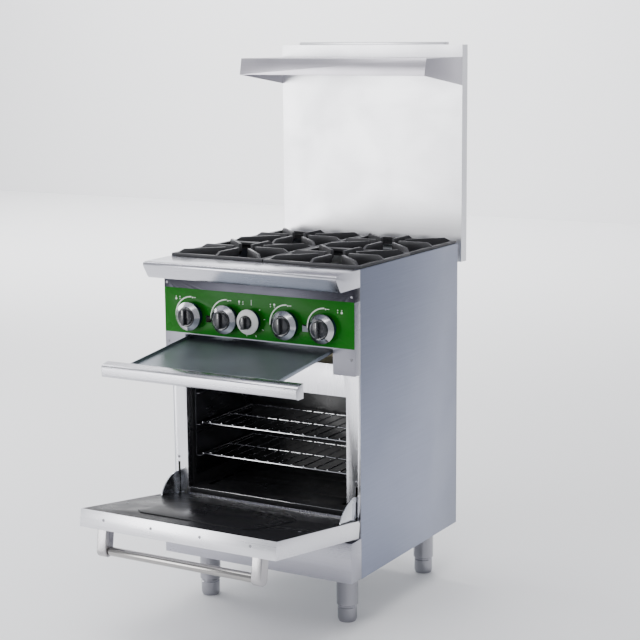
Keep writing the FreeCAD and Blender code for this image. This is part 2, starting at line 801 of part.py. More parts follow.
# Louvred cap over the flue outlet.
cap_half = 242
cap_high = riser_high + dim("cap_height")
cap_y = (riser_y + 4, riser_y + riser_depth - 3)
cap_ring = cut(
    box((-cap_half, cap_half), deep(*cap_y), (riser_high, cap_high)),
    box((-cap_half + 4, cap_half - 4), deep(cap_y[0] + 4, cap_y[1] - 4), (riser_high - 1, cap_high + 1)),
)
louvre_count = 5
louvre_step = 80
louvres = [
    box((x - 1.5, x + 1.5), deep(cap_y[0] + 3, cap_y[1] - 3), (riser_high + 3, cap_high))
    for x in [(index - (louvre_count - 1) / 2) * louvre_step for index in range(louvre_count)]
]
finish("flue_cap", fuse(cap_ring, *louvres))

# High shelf: folded sheet with a leaning front lip and welded end gussets.
shelf_y = dim("shelf_y")
shelf_z = dim("shelf_z")
shelf_sheet = extrusion("YZ_Plane", [
    (face + shelf_y, shelf_z),
    (face + riser_y, shelf_z),
    (face + riser_y, shelf_z - 32),
    (face + riser_y - gauge, shelf_z - 32),
    (face + riser_y - gauge, shelf_z - gauge),
    (face + shelf_y + 1.2, shelf_z - gauge),
    (face + shelf_y - 8.2, shelf_z - 45.5),
    (face + shelf_y + 4, shelf_z - 45.5),
    (face + shelf_y + 4, shelf_z - 47),
    (face + shelf_y - 10, shelf_z - 47),
], 2 * half)
gussets = [
    extrusion("YZ_Plane", [
        (face + shelf_y, shelf_z),
        (face + riser_y, shelf_z),
        (face + riser_y, shelf_z - 80),
        (face + shelf_y - 10, shelf_z - 47),
    ], gauge, side * (half - gauge / 2))
    for name, side in SIDES
]
finish("high_shelf", fuse(shelf_sheet, *gussets))

# ------------------------------------------------------------- legs and feet
leg_radius = dim("leg_radius")
foot_radius = dim("foot_radius")
foot_high = dim("foot_high")
leg_bore = dim("foot_stem")
legs = []
foot_names = ("front_left_foot", "front_right_foot", "rear_left_foot", "rear_right_foot")
for label, (x, y) in zip(foot_names, leg_spots):
    legs.append(cut(
        fuse(
            cylinder("z", leg_radius, (foot_high, shell_low), x, y),
            cylinder("z", stud_radius, (shell_low - 1, shell_low + 16), x, y),
        ),
        cylinder("z", leg_bore, (foot_high - 1, foot_high + 60), x, y),
    ))
    foot_side = [
        (0, 0), (foot_radius - 5, 0), (foot_radius - 1, 5), (foot_radius, 10),
        (foot_radius, foot_high), (leg_bore - stem_clear, foot_high),
        (leg_bore - stem_clear, foot_high + 45), (0, foot_high + 45),
    ]
    finish(label, put_at(turned(foot_side), x, y, 0))
finish("legs", group(*legs))

# ---------------------------------------------------------------- oven door
# The door is drawn closed about its hinge axis, then swung open to rest.
door_low = -dim("door_low")
door_high = dim("door_high")
door_front = -dim("door_front")
door_back = dim("door_back")
arm_x = dim("arm_x")
arm_radius = dim("arm_radius")
pin = 4


def swing(thing):
    """Stand a door piece at the hinge, swung open."""
    thing.Placement = FreeCAD.Placement(
        FreeCAD.Vector(), FreeCAD.Rotation(FreeCAD.Vector(1, 0, 0), dim("door_open").value))
    bind(thing, "Placement.Rotation.Angle", dim("door_open"))
    return put_at(thing, 0, face + dim("hinge_y"), dim("hinge_z"))


door_blank = box((-half, half), (door_front, door_back), (door_low, door_high))
door_space = box((-inner_half, inner_half), (door_front + gauge, door_back + 1),
                 (door_low + gauge, door_high - gauge))
hinge_notches = [
    box(on_side(side, arm_x - 13, arm_x + 5), (-14, door_back + 1), (door_low - 1, door_low + 3))
    for name, side in SIDES
]
heel_cut = 5
heel = box((-half - 1, half + 1), (door_back - heel_cut, door_back + 1), (door_low - 1, door_low + heel_cut))
finish("door_outer_panel", swing(cut(door_blank, door_space, heel, *hinge_notches)))

# Inner panel: enamelled pressing with a raised centre whose corners are cut.
boss_half = 185
boss_low = 95
boss_high = 345
corner = 28
boss_rise = 3


def boss_outline(shrink):
    wide = boss_half - shrink
    low = boss_low + shrink
    high = boss_high - shrink
    return [
        (corner - wide, low), (wide - corner, low), (wide, low + corner), (wide, high - corner),
        (wide - corner, high), (corner - wide, high), (-wide, high - corner), (-wide, low + corner),
    ]


# A sketch on the XZ plane faces forward, so offsets run towards the front.
liner_plate = box((-inner_half, inner_half), (door_back - gauge, door_back),
                  (door_low + heel_cut, door_high - gauge))
boss = extrusion("XZ_Plane", boss_outline(0), gauge + boss_rise, -(door_back - gauge / 2 + boss_rise / 2))
boss_hollow = extrusion("XZ_Plane", boss_outline(gauge), gauge + boss_rise,
                        -(door_back - 1.5 * gauge + boss_rise / 2))
arm_slots = [
    box(on_side(side, arm_x - 2, arm_x + 5), (door_back - 5, door_back + 5), (door_low, 96))
    for name, side in SIDES
]
bracket_slots = [
    box(on_side(side, arm_x - 13, arm_x - 1), (door_back - 5, door_back + 5), (door_low, 14))
    for name, side in SIDES
]
finish("door_inner_panel", swing(cut(fuse(liner_plate, boss), boss_hollow, *arm_slots, *bracket_slots)))

finish("door_insulation", swing(group(box(
    (-arm_x + 18, arm_x - 18), (door_front + gauge, door_back - gauge),
    (door_low + heel_cut, door_high - gauge)))))

# Hinge arms: sector plates with a mounting flange and a riveted pin.
arm_centre = -12
# The first rotation stands the plate upright, its sweep starting at +Y.
SECTOR_TURN = FreeCAD.Rotation(FreeCAD.Vector(1, 0, 0), -25).multiply(
    FreeCAD.Rotation(FreeCAD.Vector(1, 1, 1), 120))
arms = []
for name, side in SIDES:
    sector = doc.addObject("Part::Cylinder", "Sector")
    bind(sector, "Radius", arm_radius)
    sector.Height = 3
    sector.Angle = 125
    sector.Placement = FreeCAD.Placement(FreeCAD.Vector(), SECTOR_TURN)
    put_at(sector, on_side(side, arm_x, arm_x + 3)[0], 0, arm_centre)
    foot_flange = box(on_side(side, arm_x, inner_half), (-22, -20), (10, 110))
    web = box(on_side(side, arm_x, arm_x + 3), (-22, 0), (0, 100))
    hook_hole = cylinder("x", 4, on_side(side, arm_x - 1, arm_x + 5), 67, -26)
    rivet = cylinder("x", pin, on_side(side, arm_x - 12, arm_x), 0, 0)
    arms.append(fuse(cut(fuse(sector, web, foot_flange), hook_hole), rivet))
finish("hinge_arms", swing(group(*arms)))

# Handle: a round bar between two posts.
handle_x = dim("handle_x")
handle_z = dim("handle_z")
handle_y = -dim("handle_reach")
posts = [
    fuse(
        box(on_side(side, handle_x - 15, handle_x + 15), (handle_y, door_front),
            (handle_z - 17, handle_z + 17)),
        cylinder("x", 17, on_side(side, handle_x - 15, handle_x + 15), handle_y, handle_z),
    )
    for name, side in SIDES
]
finish("handle_posts", swing(group(*posts)))
finish("handle_bar", swing(group(cylinder(
    "x", dim("bar_radius"), (-handle_x + 15, handle_x - 15), handle_y, handle_z))))

# Screws in the top edge and the inner face of the door.
edge_screws = [
    cylinder("z", 4, (door_high, door_high + 1), x, 0) for x in (-225, -75, 75, 225)
]
face_screws = [
    cylinder("y", 4, (door_back, door_back + 1.5), x, z) for x, z in ((-270, 250), (270, 250))
]
finish("door_screws", swing(group(*edge_screws, *face_screws)))

# Hinge brackets on the front frame, with a running bore for each pin.
brackets = []
for name, side in SIDES:
    arm_span = on_side(side, arm_x - 10, arm_x - 4)
    brackets.append(cut(
        fuse(
            box(arm_span, (face + dim("hinge_y"), face), (dim("hinge_z") - 10, dim("hinge_z") + 10)),
            cylinder("x", 10, arm_span, face + dim("hinge_y"), dim("hinge_z")),
            box(on_side(side, arm_x - 12.5, arm_x - 4), deep(-2, 0),
                (dim("hinge_z") - 20, dim("hinge_z") + 20)),
        ),
        cylinder("x", pin + stem_clear, on_side(side, arm_x - 12, arm_x), face + dim("hinge_y"),
                 dim("hinge_z")),
    ))
finish("hinge_brackets", group(*brackets))

# Extension springs in the columns, from the base pan to the hinge arms.
springs = [
    cut(
        cylinder("z", 9, (shell_low + 18, 320), side * spring_x, face + spring_y),
        cylinder("z", 6, (shell_low + 22, 316), side * spring_x, face + spring_y),
    )
    for name, side in SIDES
]
finish("door_springs", group(*springs))

# ---------------------------------------------------------------- drip tray
# Tray and rails are drawn level, then set on the slope of the rails.
tray_half = dim("tray_width") / 2
tray_wall = dim("tray_wall")
tray_length = dim("tray_length")


def on_slope(thing):
    """Stand a tray piece at the front edge of the tray, on the slope."""
    thing.Placement = FreeCAD.Placement(
        FreeCAD.Vector(), FreeCAD.Rotation(FreeCAD.Vector(1, 0, 0), dim("tray_slope").value))
    bind(thing, "Placement.Rotation.Angle", dim("tray_slope"))
    return put_at(thing, 0, face + dim("tray_y"), dim("tray_z"))


finish("drip_tray", on_slope(cut(
    box((-tray_half, tray_half), (0, tray_length), (-tray_wall, 0)),
    box((-tray_half + gauge, tray_half - gauge), (gauge, tray_length - gauge), (-tray_wall + gauge, 1)),
)))
tray_rails = []
for name, side in SIDES:
    tray_rails.append(fuse(
        box(on_side(side, tray_half - 6, tray_half + 4), (300, 840), (-tray_wall - 2.3, -tray_wall - 0.3)),
        box(on_side(side, tray_half + 2.5, tray_half + 4), (300, 840), (-tray_wall - 1, 2)),
        *[
            box(on_side(side, tray_half + 3, half - gauge), (y, y + 20),
                (-tray_wall - 2.3, -tray_wall - 0.8))
            for y in (345, 600)
        ]
    ))
finish("tray_rails", on_slope(group(*tray_rails)))

# Tray front: a hollow pressed channel across the full width.
lip_back = face + dim("tray_y")
lip_top = dim("tray_z")
lip_outline = [
    (lip_back, lip_top), (lip_back - 26, lip_top - 5), (lip_back - 31, lip_top - 10),
    (lip_back - 31, lip_top - 34), (lip_back - 27, lip_top - 38), (lip_back, lip_top - 38),
]
lip_hollow = [
    (lip_back - gauge, lip_top - 2), (lip_back - 25.4, lip_top - 6.5),
    (lip_back - 29.5, lip_top - 10.6), (lip_back - 29.5, lip_top - 33.4),
    (lip_back - 26.4, lip_top - 36.5), (lip_back - gauge, lip_top - 36.5),
]
tray_front = extrusion("YZ_Plane", lip_outline, 2 * half)
pad(tray_front, outline_sketch(tray_front, "YZ_Plane", lip_hollow), 2 * inner_half, "Pocket")
finish("tray_front", tray_front)

# -------------------------------------------------------------------- racks
rack_half = dim("rack_width") / 2
rack_front = dim("rack_front")
rack_rear = dim("rack_rear")
rod_count = 12
rod = 1.8
for level, label in enumerate(("lower_rack", "upper_rack")):
    z = rack_low + level * rack_step
    lift = z + wire + rod - 0.8
    wires = [
        cylinder("x", wire, (-rack_half, rack_half), face + y, z)
        for y in (rack_front, rack_rear)
    ]
    wires += [
        cylinder("y", wire, deep(rack_front, rack_rear), side * (rack_half - wire), z)
        for name, side in SIDES
    ]
    wires.append(cylinder("x", wire - 0.5, (-rack_half + wire, rack_half - wire),
                          face + (rack_front + rack_rear) / 2, z))
    for index in range(rod_count):
        x = (index + 0.5 - rod_count / 2) * (rack_half * 2 - 20) / rod_count
        wires.append(cylinder("y", rod, deep(rack_front - 2, rack_rear + 2), x, lift))
    finish(label, fuse(*wires))

# ------------------------------------------------------------- body fasteners
screw_heads = []
for name, side in SIDES:
    for x, front, z in ((291, -proud, 913), (290, -proud, 748), (arm_x + 2, 0, 411)):
        screw_heads.append(cylinder("y", 4, deep(front - 1.6, front), side * x, z))
finish("body_screws", group(*screw_heads))

doc.recompute()


def check_everything():
    """Stop before anything is written if a feature or a sub-part has failed."""
    for thing in doc.Objects:
        if "Invalid" in thing.State or "Error" in thing.State:
            raise RuntimeError("failed feature: %s (%s)" % (thing.Name, thing.Label))
    for label, thing in finished.items():
        if thing.Shape.isNull() or not thing.Shape.isValid() or not thing.Shape.Solids:
            raise RuntimeError("bad shape: " + label)


check_everything()
os.makedirs("parts", exist_ok=True)
for label, thing in finished.items():
    thing.Shape.exportStep("parts/%s.step" % label)
bounds = FreeCAD.BoundBox()
for thing in finished.values():
    bounds.add(thing.Shape.BoundBox)
print("%d sub-parts, %s" % (len(finished), bounds))
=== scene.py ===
import json
import math

import bpy
from mathutils import Matrix, Vector


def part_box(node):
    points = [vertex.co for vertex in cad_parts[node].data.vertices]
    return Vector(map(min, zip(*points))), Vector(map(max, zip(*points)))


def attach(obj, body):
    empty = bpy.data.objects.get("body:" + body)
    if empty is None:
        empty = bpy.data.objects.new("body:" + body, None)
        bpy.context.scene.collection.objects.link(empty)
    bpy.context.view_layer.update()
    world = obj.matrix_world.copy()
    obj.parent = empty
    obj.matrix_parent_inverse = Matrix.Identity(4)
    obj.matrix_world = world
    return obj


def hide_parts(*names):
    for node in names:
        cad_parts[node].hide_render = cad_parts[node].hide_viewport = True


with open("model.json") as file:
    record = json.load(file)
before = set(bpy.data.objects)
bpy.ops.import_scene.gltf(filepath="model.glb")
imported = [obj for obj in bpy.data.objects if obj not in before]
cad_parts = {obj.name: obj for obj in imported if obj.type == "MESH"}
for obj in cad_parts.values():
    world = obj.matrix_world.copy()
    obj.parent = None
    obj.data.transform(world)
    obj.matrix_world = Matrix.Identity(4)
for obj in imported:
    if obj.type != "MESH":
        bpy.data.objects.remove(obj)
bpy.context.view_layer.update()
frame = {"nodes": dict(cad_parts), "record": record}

# ---------------------------------------------------------------- body sheets
# The body is folded from brushed stainless sheet.  The two sides are satin, and
# their colour is painted darker and bluer than the front frame and kick panel:
# painted shade and a painted blue reflection.  The front frame and kick panel are
# polished along their length before they are spot welded together.


def shader_group(name, inputs, outputs):
    """An empty node group with named sockets."""
    group = bpy.data.node_groups.new(name, "ShaderNodeTree")
    for kind, label, value in inputs:
        socket = group.interface.new_socket(name=label, in_out="INPUT", socket_type=kind)
        socket.default_value = value
    for kind, label in outputs:
        group.interface.new_socket(name=label, in_out="OUTPUT", socket_type=kind)
    return group, group.nodes.new("NodeGroupInput"), group.nodes.new("NodeGroupOutput")


def make_grain_group():
    """Fine streaks along one direction, with a bump from the same streaks."""
    group, given, out = shader_group(
        "sheet_grain",
        [("NodeSocketVector", "Scale", (1.0, 1.0, 1.0)), ("NodeSocketFloat", "Depth", 0.1)],
        [("NodeSocketFloat", "Streaks"), ("NodeSocketVector", "Normal")],
    )
    place = group.nodes.new("ShaderNodeTexCoord")
    stretch = group.nodes.new("ShaderNodeVectorMath")
    stretch.operation = "MULTIPLY"
    noise = group.nodes.new("ShaderNodeTexNoise")
    noise.inputs["Scale"].default_value = 1.0
    noise.inputs["Detail"].default_value = 5.0
    noise.inputs["Roughness"].default_value = 0.65
    bump = group.nodes.new("ShaderNodeBump")
    bump.inputs["Distance"].default_value = 0.0002
    links = group.links
    links.new(place.outputs["Object"], stretch.inputs[0])
    links.new(given.outputs["Scale"], stretch.inputs[1])
    links.new(stretch.outputs[0], noise.inputs["Vector"])
    links.new(noise.outputs["Fac"], bump.inputs["Height"])
    links.new(given.outputs["Depth"], bump.inputs["Strength"])
    links.new(noise.outputs["Fac"], out.inputs["Streaks"])
    links.new(bump.outputs["Normal"], out.inputs["Normal"])
    return group


def make_smudge_group():
    """Broad cloudy marks left by handling and wiping."""
    group, given, out = shader_group(
        "wipe_marks",
        [("NodeSocketFloat", "Size", 6.0), ("NodeSocketFloat", "Low", 0.0),
         ("NodeSocketFloat", "High", 1.0)],
        [("NodeSocketFloat", "Mask")],
    )
    place = group.nodes.new("ShaderNodeTexCoord")
    noise = group.nodes.new("ShaderNodeTexNoise")
    noise.inputs["Detail"].default_value = 3.0
    noise.inputs["Distortion"].default_value = 0.6
    spread = group.nodes.new("ShaderNodeMapRange")
    spread.inputs["From Min"].default_value = 0.32
    spread.inputs["From Max"].default_value = 0.68
    links = group.links
    links.new(place.outputs["Object"], noise.inputs["Vector"])
    links.new(given.outputs["Size"], noise.inputs["Scale"])
    links.new(noise.outputs["Fac"], spread.inputs["Value"])
    links.new(given.outputs["Low"], spread.inputs["To Min"])
    links.new(given.outputs["High"], spread.inputs["To Max"])
    links.new(spread.outputs["Result"], out.inputs["Mask"])
    return group


grain_group = make_grain_group()
smudge_group = make_smudge_group()


def start_material(name):
    """A new material, with its nodes, its links and its own shader."""
    material = bpy.data.materials.new(name)
    material.use_nodes = True
    tree = material.node_tree
    return material, tree.nodes, tree.links, tree.nodes["Principled BSDF"]


def group_node(nodes, group, **values):
    """A node that uses a group, with constants on its sockets."""
    used = nodes.new("ShaderNodeGroup")
    used.node_tree = group
    for label, value in values.items():
        used.inputs[label].default_value = value
    return used


def tune(material, values):
    """Set constants on the sockets of a material's own shader."""
    shader = material.node_tree.nodes["Principled BSDF"]
    for label, value in values.items():
        shader.inputs[label].default_value = value


def mix_colours(nodes, links, factor, first, second):
    """A colour that runs from first to second with a factor socket."""
    blend = nodes.new("ShaderNodeMix")
    blend.data_type = "RGBA"
    blend.inputs["A"].default_value = (*first, 1.0)
    blend.inputs["B"].default_value = (*second, 1.0)
    links.new(factor, blend.inputs["Factor"])
    return blend.outputs["Result"]


def add_values(nodes, links, first, second):
    """The sum of two sockets, kept between 0 and 1."""
    total = nodes.new("ShaderNodeMath")
    total.operation = "ADD"
    total.use_clamp = True
    links.new(first, total.inputs[0])
    links.new(second, total.inputs[1])
    return total.outputs[0]


def brushed_metal(name, colour, roughness, grain, depth=0.25, contrast=0.14):
    """Brushed metal.  grain is how many streaks there are per metre on X, Y, Z."""
    material, nodes, links, shader = start_material(name)
    shader.inputs["Metallic"].default_value = 1.0
    streaks = group_node(nodes, grain_group, Scale=grain, Depth=depth)
    wipes = group_node(nodes, smudge_group, Size=5.0, Low=-0.04, High=0.05)
    rough = nodes.new("ShaderNodeMapRange")
    rough.inputs["To Min"].default_value = roughness - contrast / 2
    rough.inputs["To Max"].default_value = roughness + contrast / 2
    links.new(streaks.outputs["Streaks"], rough.inputs["Value"])
    links.new(add_values(nodes, links, rough.outputs["Result"], wipes.outputs["Mask"]),
              shader.inputs["Roughness"])
    dark = [part * (1 - contrast) for part in colour]
    light = [min(1.0, part * (1 + contrast)) for part in colour]
    links.new(mix_colours(nodes, links, streaks.outputs["Streaks"], dark, light),
              shader.inputs["Base Color"])
    links.new(streaks.outputs["Normal"], shader.inputs["Normal"])
    return material


ALONG_X = (3.0, 260.0, 260.0)
ALONG_Y = (260.0, 3.0, 260.0)
ALONG_Z = (260.0, 260.0, 3.0)


def every_way(streaks):
    """The same number of streaks per metre on X, Y and Z."""
    return (streaks, streaks, streaks)


def paint_node(node, material):
    """Give a carried-over node its finish."""
    for place in frame["nodes"][node].material_slots:
        place.material = material


def body_of(node):
    """The body that a node rides on."""
    for body, members in frame["record"]["behaviour"]["bodies"].items():
        if node in members:
            return body
    raise KeyError(node)


SLOT_OF = {row["node"]: row["material_slot"] for row in frame["record"]["subparts"]}


def clear_selection():
    """Leave edit mode with nothing selected."""
    if bpy.context.object and bpy.context.object.mode != "OBJECT":
        bpy.ops.object.mode_set(mode="OBJECT")
    bpy.ops.object.select_all(action="DESELECT")


def pick(piece):
    """Make a piece the only selected one, and the active one."""
    clear_selection()
    piece.select_set(True)
    bpy.context.view_layer.objects.active = piece


def apply_all(piece, smooth=35):
    """Apply the piece's place and modifiers, and shade it."""
    pick(piece)
    bpy.ops.object.transform_apply(location=True, rotation=True, scale=True)
    for modifier in list(piece.modifiers):
        bpy.ops.object.modifier_apply(modifier=modifier.name)
    bpy.ops.object.shade_smooth_by_angle(angle=math.radians(smooth))
    return piece


def round_edges(piece, width, segments=2, angle=30):
    """A bevel on every edge sharper than the angle, in degrees."""
    bevel = piece.modifiers.new("edge", "BEVEL")
    bevel.width = width
    bevel.segments = segments
    bevel.limit_method = "ANGLE"
    bevel.angle_limit = math.radians(angle)
    even = piece.modifiers.new("even", "WEIGHTED_NORMAL")
    even.keep_sharp = True
    return piece


def fit_out(piece, body, slot, material, *nodes):
    """Finish a new piece: its material, the body it rides on, what it replaces."""
    piece.data.materials.clear()
    piece.data.materials.append(material)
    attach(piece, body)
    if nodes:
        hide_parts(*nodes)
    return piece


def copy_of(piece, name):
    """A copy of a finished piece, with a mesh of its own."""
    twin = bpy.data.objects.new(name, piece.data.copy())
    twin.matrix_world = piece.matrix_world
    bpy.context.collection.objects.link(twin)
    return twin


SAME_POINT = 0.00001
STILL_FLAT = math.radians(0.5)
SHEET_EDGE = 0.0004
FOLD_RADIUS = 0.0035
FOLD_STEPS = 6


def folded_copy(node, material, edge=SHEET_EDGE, segments=2, fold=0.0, at_fold=None):
    """A copy of a node with its triangles merged and its edges rounded.

    Edges whose two ends both satisfy at_fold get the larger radius of a fold.
    """
    piece = copy_of(frame["nodes"][node], node + "_formed")
    pick(piece)
    bpy.ops.object.mode_set(mode="EDIT")
    bpy.ops.mesh.select_all(action="SELECT")
    bpy.ops.mesh.remove_doubles(threshold=SAME_POINT)
    bpy.ops.mesh.dissolve_limited(angle_limit=STILL_FLAT)
    bpy.ops.mesh.normals_make_consistent(inside=False)
    bpy.ops.mesh.select_all(action="DESELECT")
    bpy.ops.mesh.select_mode(type="EDGE")
    bpy.ops.object.mode_set(mode="OBJECT")
    if fold:
        points = piece.data.vertices
        for corner in piece.data.edges:
            corner.select = all(at_fold(points[end].co) for end in corner.vertices)
        bpy.ops.object.mode_set(mode="EDIT")
        bpy.ops.mesh.bevel(offset=fold, segments=FOLD_STEPS, affect="EDGES")
        bpy.ops.object.mode_set(mode="OBJECT")
    round_edges(piece, edge, segments)
    apply_all(piece)
    return fit_out(piece, body_of(node), SLOT_OF[node], material, node)


# Painted shade and painted reflection: the sides' steel is coloured dark blue-grey.
painted_shade_side = brushed_metal(
    "side_sheet_painted_shade", (0.275, 0.300, 0.390), roughness=0.36, grain=ALONG_Y)
bright_upright = brushed_metal(
    "bright_upright_sheet", (0.80, 0.80, 0.84), roughness=0.26, grain=ALONG_Z)
bright_level = brushed_metal(
    "bright_level_sheet", (0.42, 0.42, 0.47), roughness=0.30, grain=ALONG_X)
spangled = brushed_metal(
    "galvanised_sheet", (0.50, 0.52, 0.54), roughness=0.42, grain=every_way(40.0),
    depth=0.05, contrast=0.3)

for node in ("left_side_panel", "right_side_panel"):
    folded_copy(node, painted_shade_side)
folded_copy("front_frame", bright_upright)
folded_copy("kick_panel", bright_level)
for node in ("rear_panel", "base_pan", "flue_duct", "tray_rails"):
    paint_node(node, spangled)

# ------------------------------------------------------------- legs and feet
# Each leg is a polished tube welded to a plate, and a turned foot screws into
# it.  The foot has a rolled rim at the floor and a groove under its shoulder.
leg_polish = brushed_metal(
    "polished_leg_tube", (0.34, 0.34, 0.37), roughness=0.09, grain=(500.0, 500.0, 6.0),
    depth=0.05, contrast=0.10)


def turn(name, steps, sides=48):
    """A turned piece: circles of (radius, height), extruded one from another."""
    clear_selection()
    radius, height = steps[0]
    bpy.ops.mesh.primitive_circle_add(vertices=sides, radius=radius, fill_type="NGON")
    piece = bpy.context.object
    piece.name = name
    bpy.ops.object.mode_set(mode="EDIT")
    bpy.ops.mesh.select_all(action="SELECT")
    bpy.ops.transform.translate(value=(0, 0, height))
    for wider, higher in steps[1:]:
        bpy.ops.mesh.extrude_region_move(
            TRANSFORM_OT_translate={"value": (0, 0, higher - height)})
        if wider != radius:
            ratio = wider / radius
            bpy.ops.transform.resize(value=(ratio, ratio, 1), center_override=(0, 0, higher))
        radius, height = wider, higher
    bpy.ops.mesh.select_all(action="SELECT")
    bpy.ops.mesh.normals_make_consistent(inside=False)
    bpy.ops.object.mode_set(mode="OBJECT")
    return piece


foot_nodes = [node for node in SLOT_OF if node.endswith("_foot")]
leg_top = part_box("base_pan")[0].z
leg_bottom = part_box("legs")[0].z
leg_outer = 0.0295
leg_bore = 0.0214
leg_crimp = 0.0012
foot_outer = 0.0265
foot_stem = 0.0208
foot_stem_top = 0.088
one_foot = turn("one_foot", [
    (foot_outer - 0.0055, 0.0), (foot_outer - 0.0030, 0.0004), (foot_outer - 0.0012, 0.0050),
    (foot_outer - 0.0004, 0.0075), (foot_outer, 0.0110), (foot_outer, 0.0400),
    (foot_outer - 0.0012, 0.0412), (foot_outer - 0.0012, 0.0432), (foot_outer, 0.0444),
    (foot_outer, leg_bottom - 0.0006), (foot_stem, leg_bottom - 0.0002),
    (foot_stem, foot_stem_top),
])
one_tube = turn("one_tube", [
    (leg_bore, leg_bottom + 0.040), (leg_bore, leg_bottom + 0.0003),
    (leg_outer - leg_crimp, leg_bottom), (leg_outer, leg_bottom + leg_crimp),
    (leg_outer, leg_top - 0.014), (leg_outer + leg_crimp, leg_top - 0.012),
    (leg_outer + leg_crimp, leg_top - 0.0005), (0.010, leg_top - 0.0002),
])
for node in foot_nodes:
    low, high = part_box(node)
    centre = Vector(((low.x + high.x) / 2, (low.y + high.y) / 2, 0))
    foot = copy_of(one_foot, node + "_turned")
    foot.location = centre
    apply_all(foot)
    fit_out(foot, body_of(node), SLOT_OF[node], leg_polish, node)
    tube = copy_of(one_tube, node.replace("_foot", "_leg"))
    tube.location = centre
    apply_all(tube)
    fit_out(tube, "range", "leg_steel", leg_polish)
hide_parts("legs")
bpy.data.objects.remove(one_foot)
bpy.data.objects.remove(one_tube)

# ----------------------------------------------------------------------- oven
# The oven is lined with black enamelled sheet, with plated rack guides at the
# sides, a lift-out floor with a folded lip, and one burner tube beneath it.


def enamel(name, colour, roughness, speck=0.0):
    """Fired enamel: glossy, slightly uneven, with faint wipe marks."""
    material, nodes, links, shader = start_material(name)
    shader.inputs["Coat Weight"].default_value = 0.6
    shader.inputs["Coat Roughness"].default_value = 0.08
    wipes = group_node(nodes, smudge_group, Size=9.0, Low=roughness - 0.07,
                       High=roughness + 0.09)
    links.new(wipes.outputs["Mask"], shader.inputs["Roughness"])
    peel = group_node(nodes, grain_group, Scale=every_way(150.0), Depth=0.02)
    links.new(peel.outputs["Normal"], shader.inputs["Normal"])
    pale = [part + speck for part in colour]
    links.new(mix_colours(nodes, links, peel.outputs["Streaks"], colour, pale),
              shader.inputs["Base Color"])
    return material


black_enamel = enamel(
    "black_fired_enamel", (0.016, 0.016, 0.018), roughness=0.22, speck=0.016)
plated = brushed_metal(
    "heat_darkened_plate", (0.20, 0.20, 0.22), roughness=0.30, grain=ALONG_Y, depth=0.1)
burner_tube = brushed_metal(
    "heat_tinted_tube", (0.34, 0.30, 0.27), roughness=0.34, grain=ALONG_Y, depth=0.1)
oven_enamel = enamel(
    "oven_fired_enamel", (0.014, 0.014, 0.016), roughness=0.34, speck=0.012)
tune(oven_enamel, {"Coat Weight": 0.10, "Specular IOR Level": 0.30})
folded_copy("oven_liner", oven_enamel)
folded_copy("oven_floor", oven_enamel)
folded_copy("rack_guides", plated)
paint_node("oven_burner", burner_tube)

# ------------------------------------------------------------------ insulation
# Mineral wool blankets lie between the liner and the shell and inside the door:
# matted yellow-grey fibre with a lumpy face.
wool, wool_nodes, wool_links, wool_shader = start_material("mineral_wool_fibre")
wool_shader.inputs["Roughness"].default_value = 0.95
wool_fibre = group_node(wool_nodes, grain_group, Scale=(120.0, 40.0, 300.0), Depth=0.9)
wool_links.new(mix_colours(wool_nodes, wool_links, wool_fibre.outputs["Streaks"],
                           (0.42, 0.36, 0.20), (0.80, 0.74, 0.52)),
               wool_shader.inputs["Base Color"])
wool_links.new(wool_fibre.outputs["Normal"], wool_shader.inputs["Normal"])


def matted_copy(node, lump=0.0012, finer=4):
    """A wool blanket: the node cut finely and pushed in unevenly."""
    piece = copy_of(frame["nodes"][node], node + "_matted")
    pick(piece)
    bpy.ops.object.mode_set(mode="EDIT")
    bpy.ops.mesh.select_all(action="SELECT")
    bpy.ops.mesh.remove_doubles(threshold=SAME_POINT)
    for _ in range(finer):
        bpy.ops.mesh.subdivide(number_cuts=1)
    bpy.ops.mesh.normals_make_consistent(inside=False)
    bpy.ops.object.mode_set(mode="OBJECT")
    clouds = bpy.data.textures.new(node + "_lumps", "CLOUDS")
    clouds.noise_scale = 0.03
    lumps = piece.modifiers.new("lumps", "DISPLACE")
    lumps.texture = clouds
    lumps.texture_coords = "LOCAL"
    lumps.mid_level = 1.0
    lumps.strength = lump
    apply_all(piece, smooth=60)
    fit_out(piece, body_of(node), SLOT_OF[node], wool, node)
    return piece


matted_copy("oven_insulation")
matted_copy("door_insulation")

# ------------------------------------------------------------------ oven racks
# Two racks of chromed wire: a frame of heavy wire with thin rods welded across
# the top, whose cut ends show over the front wire.
rack_chrome = brushed_metal(
    "chromed_wire", (0.82, 0.82, 0.84), roughness=0.10, grain=every_way(60.0),
    depth=0.05, contrast=0.1)


def wire_along(axis, radius, start, end, first, second, sides=14):
    """A straight wire along X or Y, with rounded cut ends."""
    clear_selection()
    middle = (start + end) / 2
    place = {"x": (middle, first, second), "y": (first, middle, second)}[axis]
    turn_by = {"x": (0, math.pi / 2, 0), "y": (math.pi / 2, 0, 0)}[axis]
    bpy.ops.mesh.primitive_cylinder_add(
        vertices=sides, radius=radius, depth=abs(end - start), location=place,
        rotation=turn_by)
    bar = bpy.context.object
    round_edges(bar, radius * 0.35, angle=60)
    return apply_all(bar)


def join_pieces(name, parts):
    """Join parts into the first of them, under a new name."""
    clear_selection()
    for part in parts:
        part.select_set(True)
    bpy.context.view_layer.objects.active = parts[0]
    bpy.ops.object.join()
    parts[0].name = name
    return parts[0]


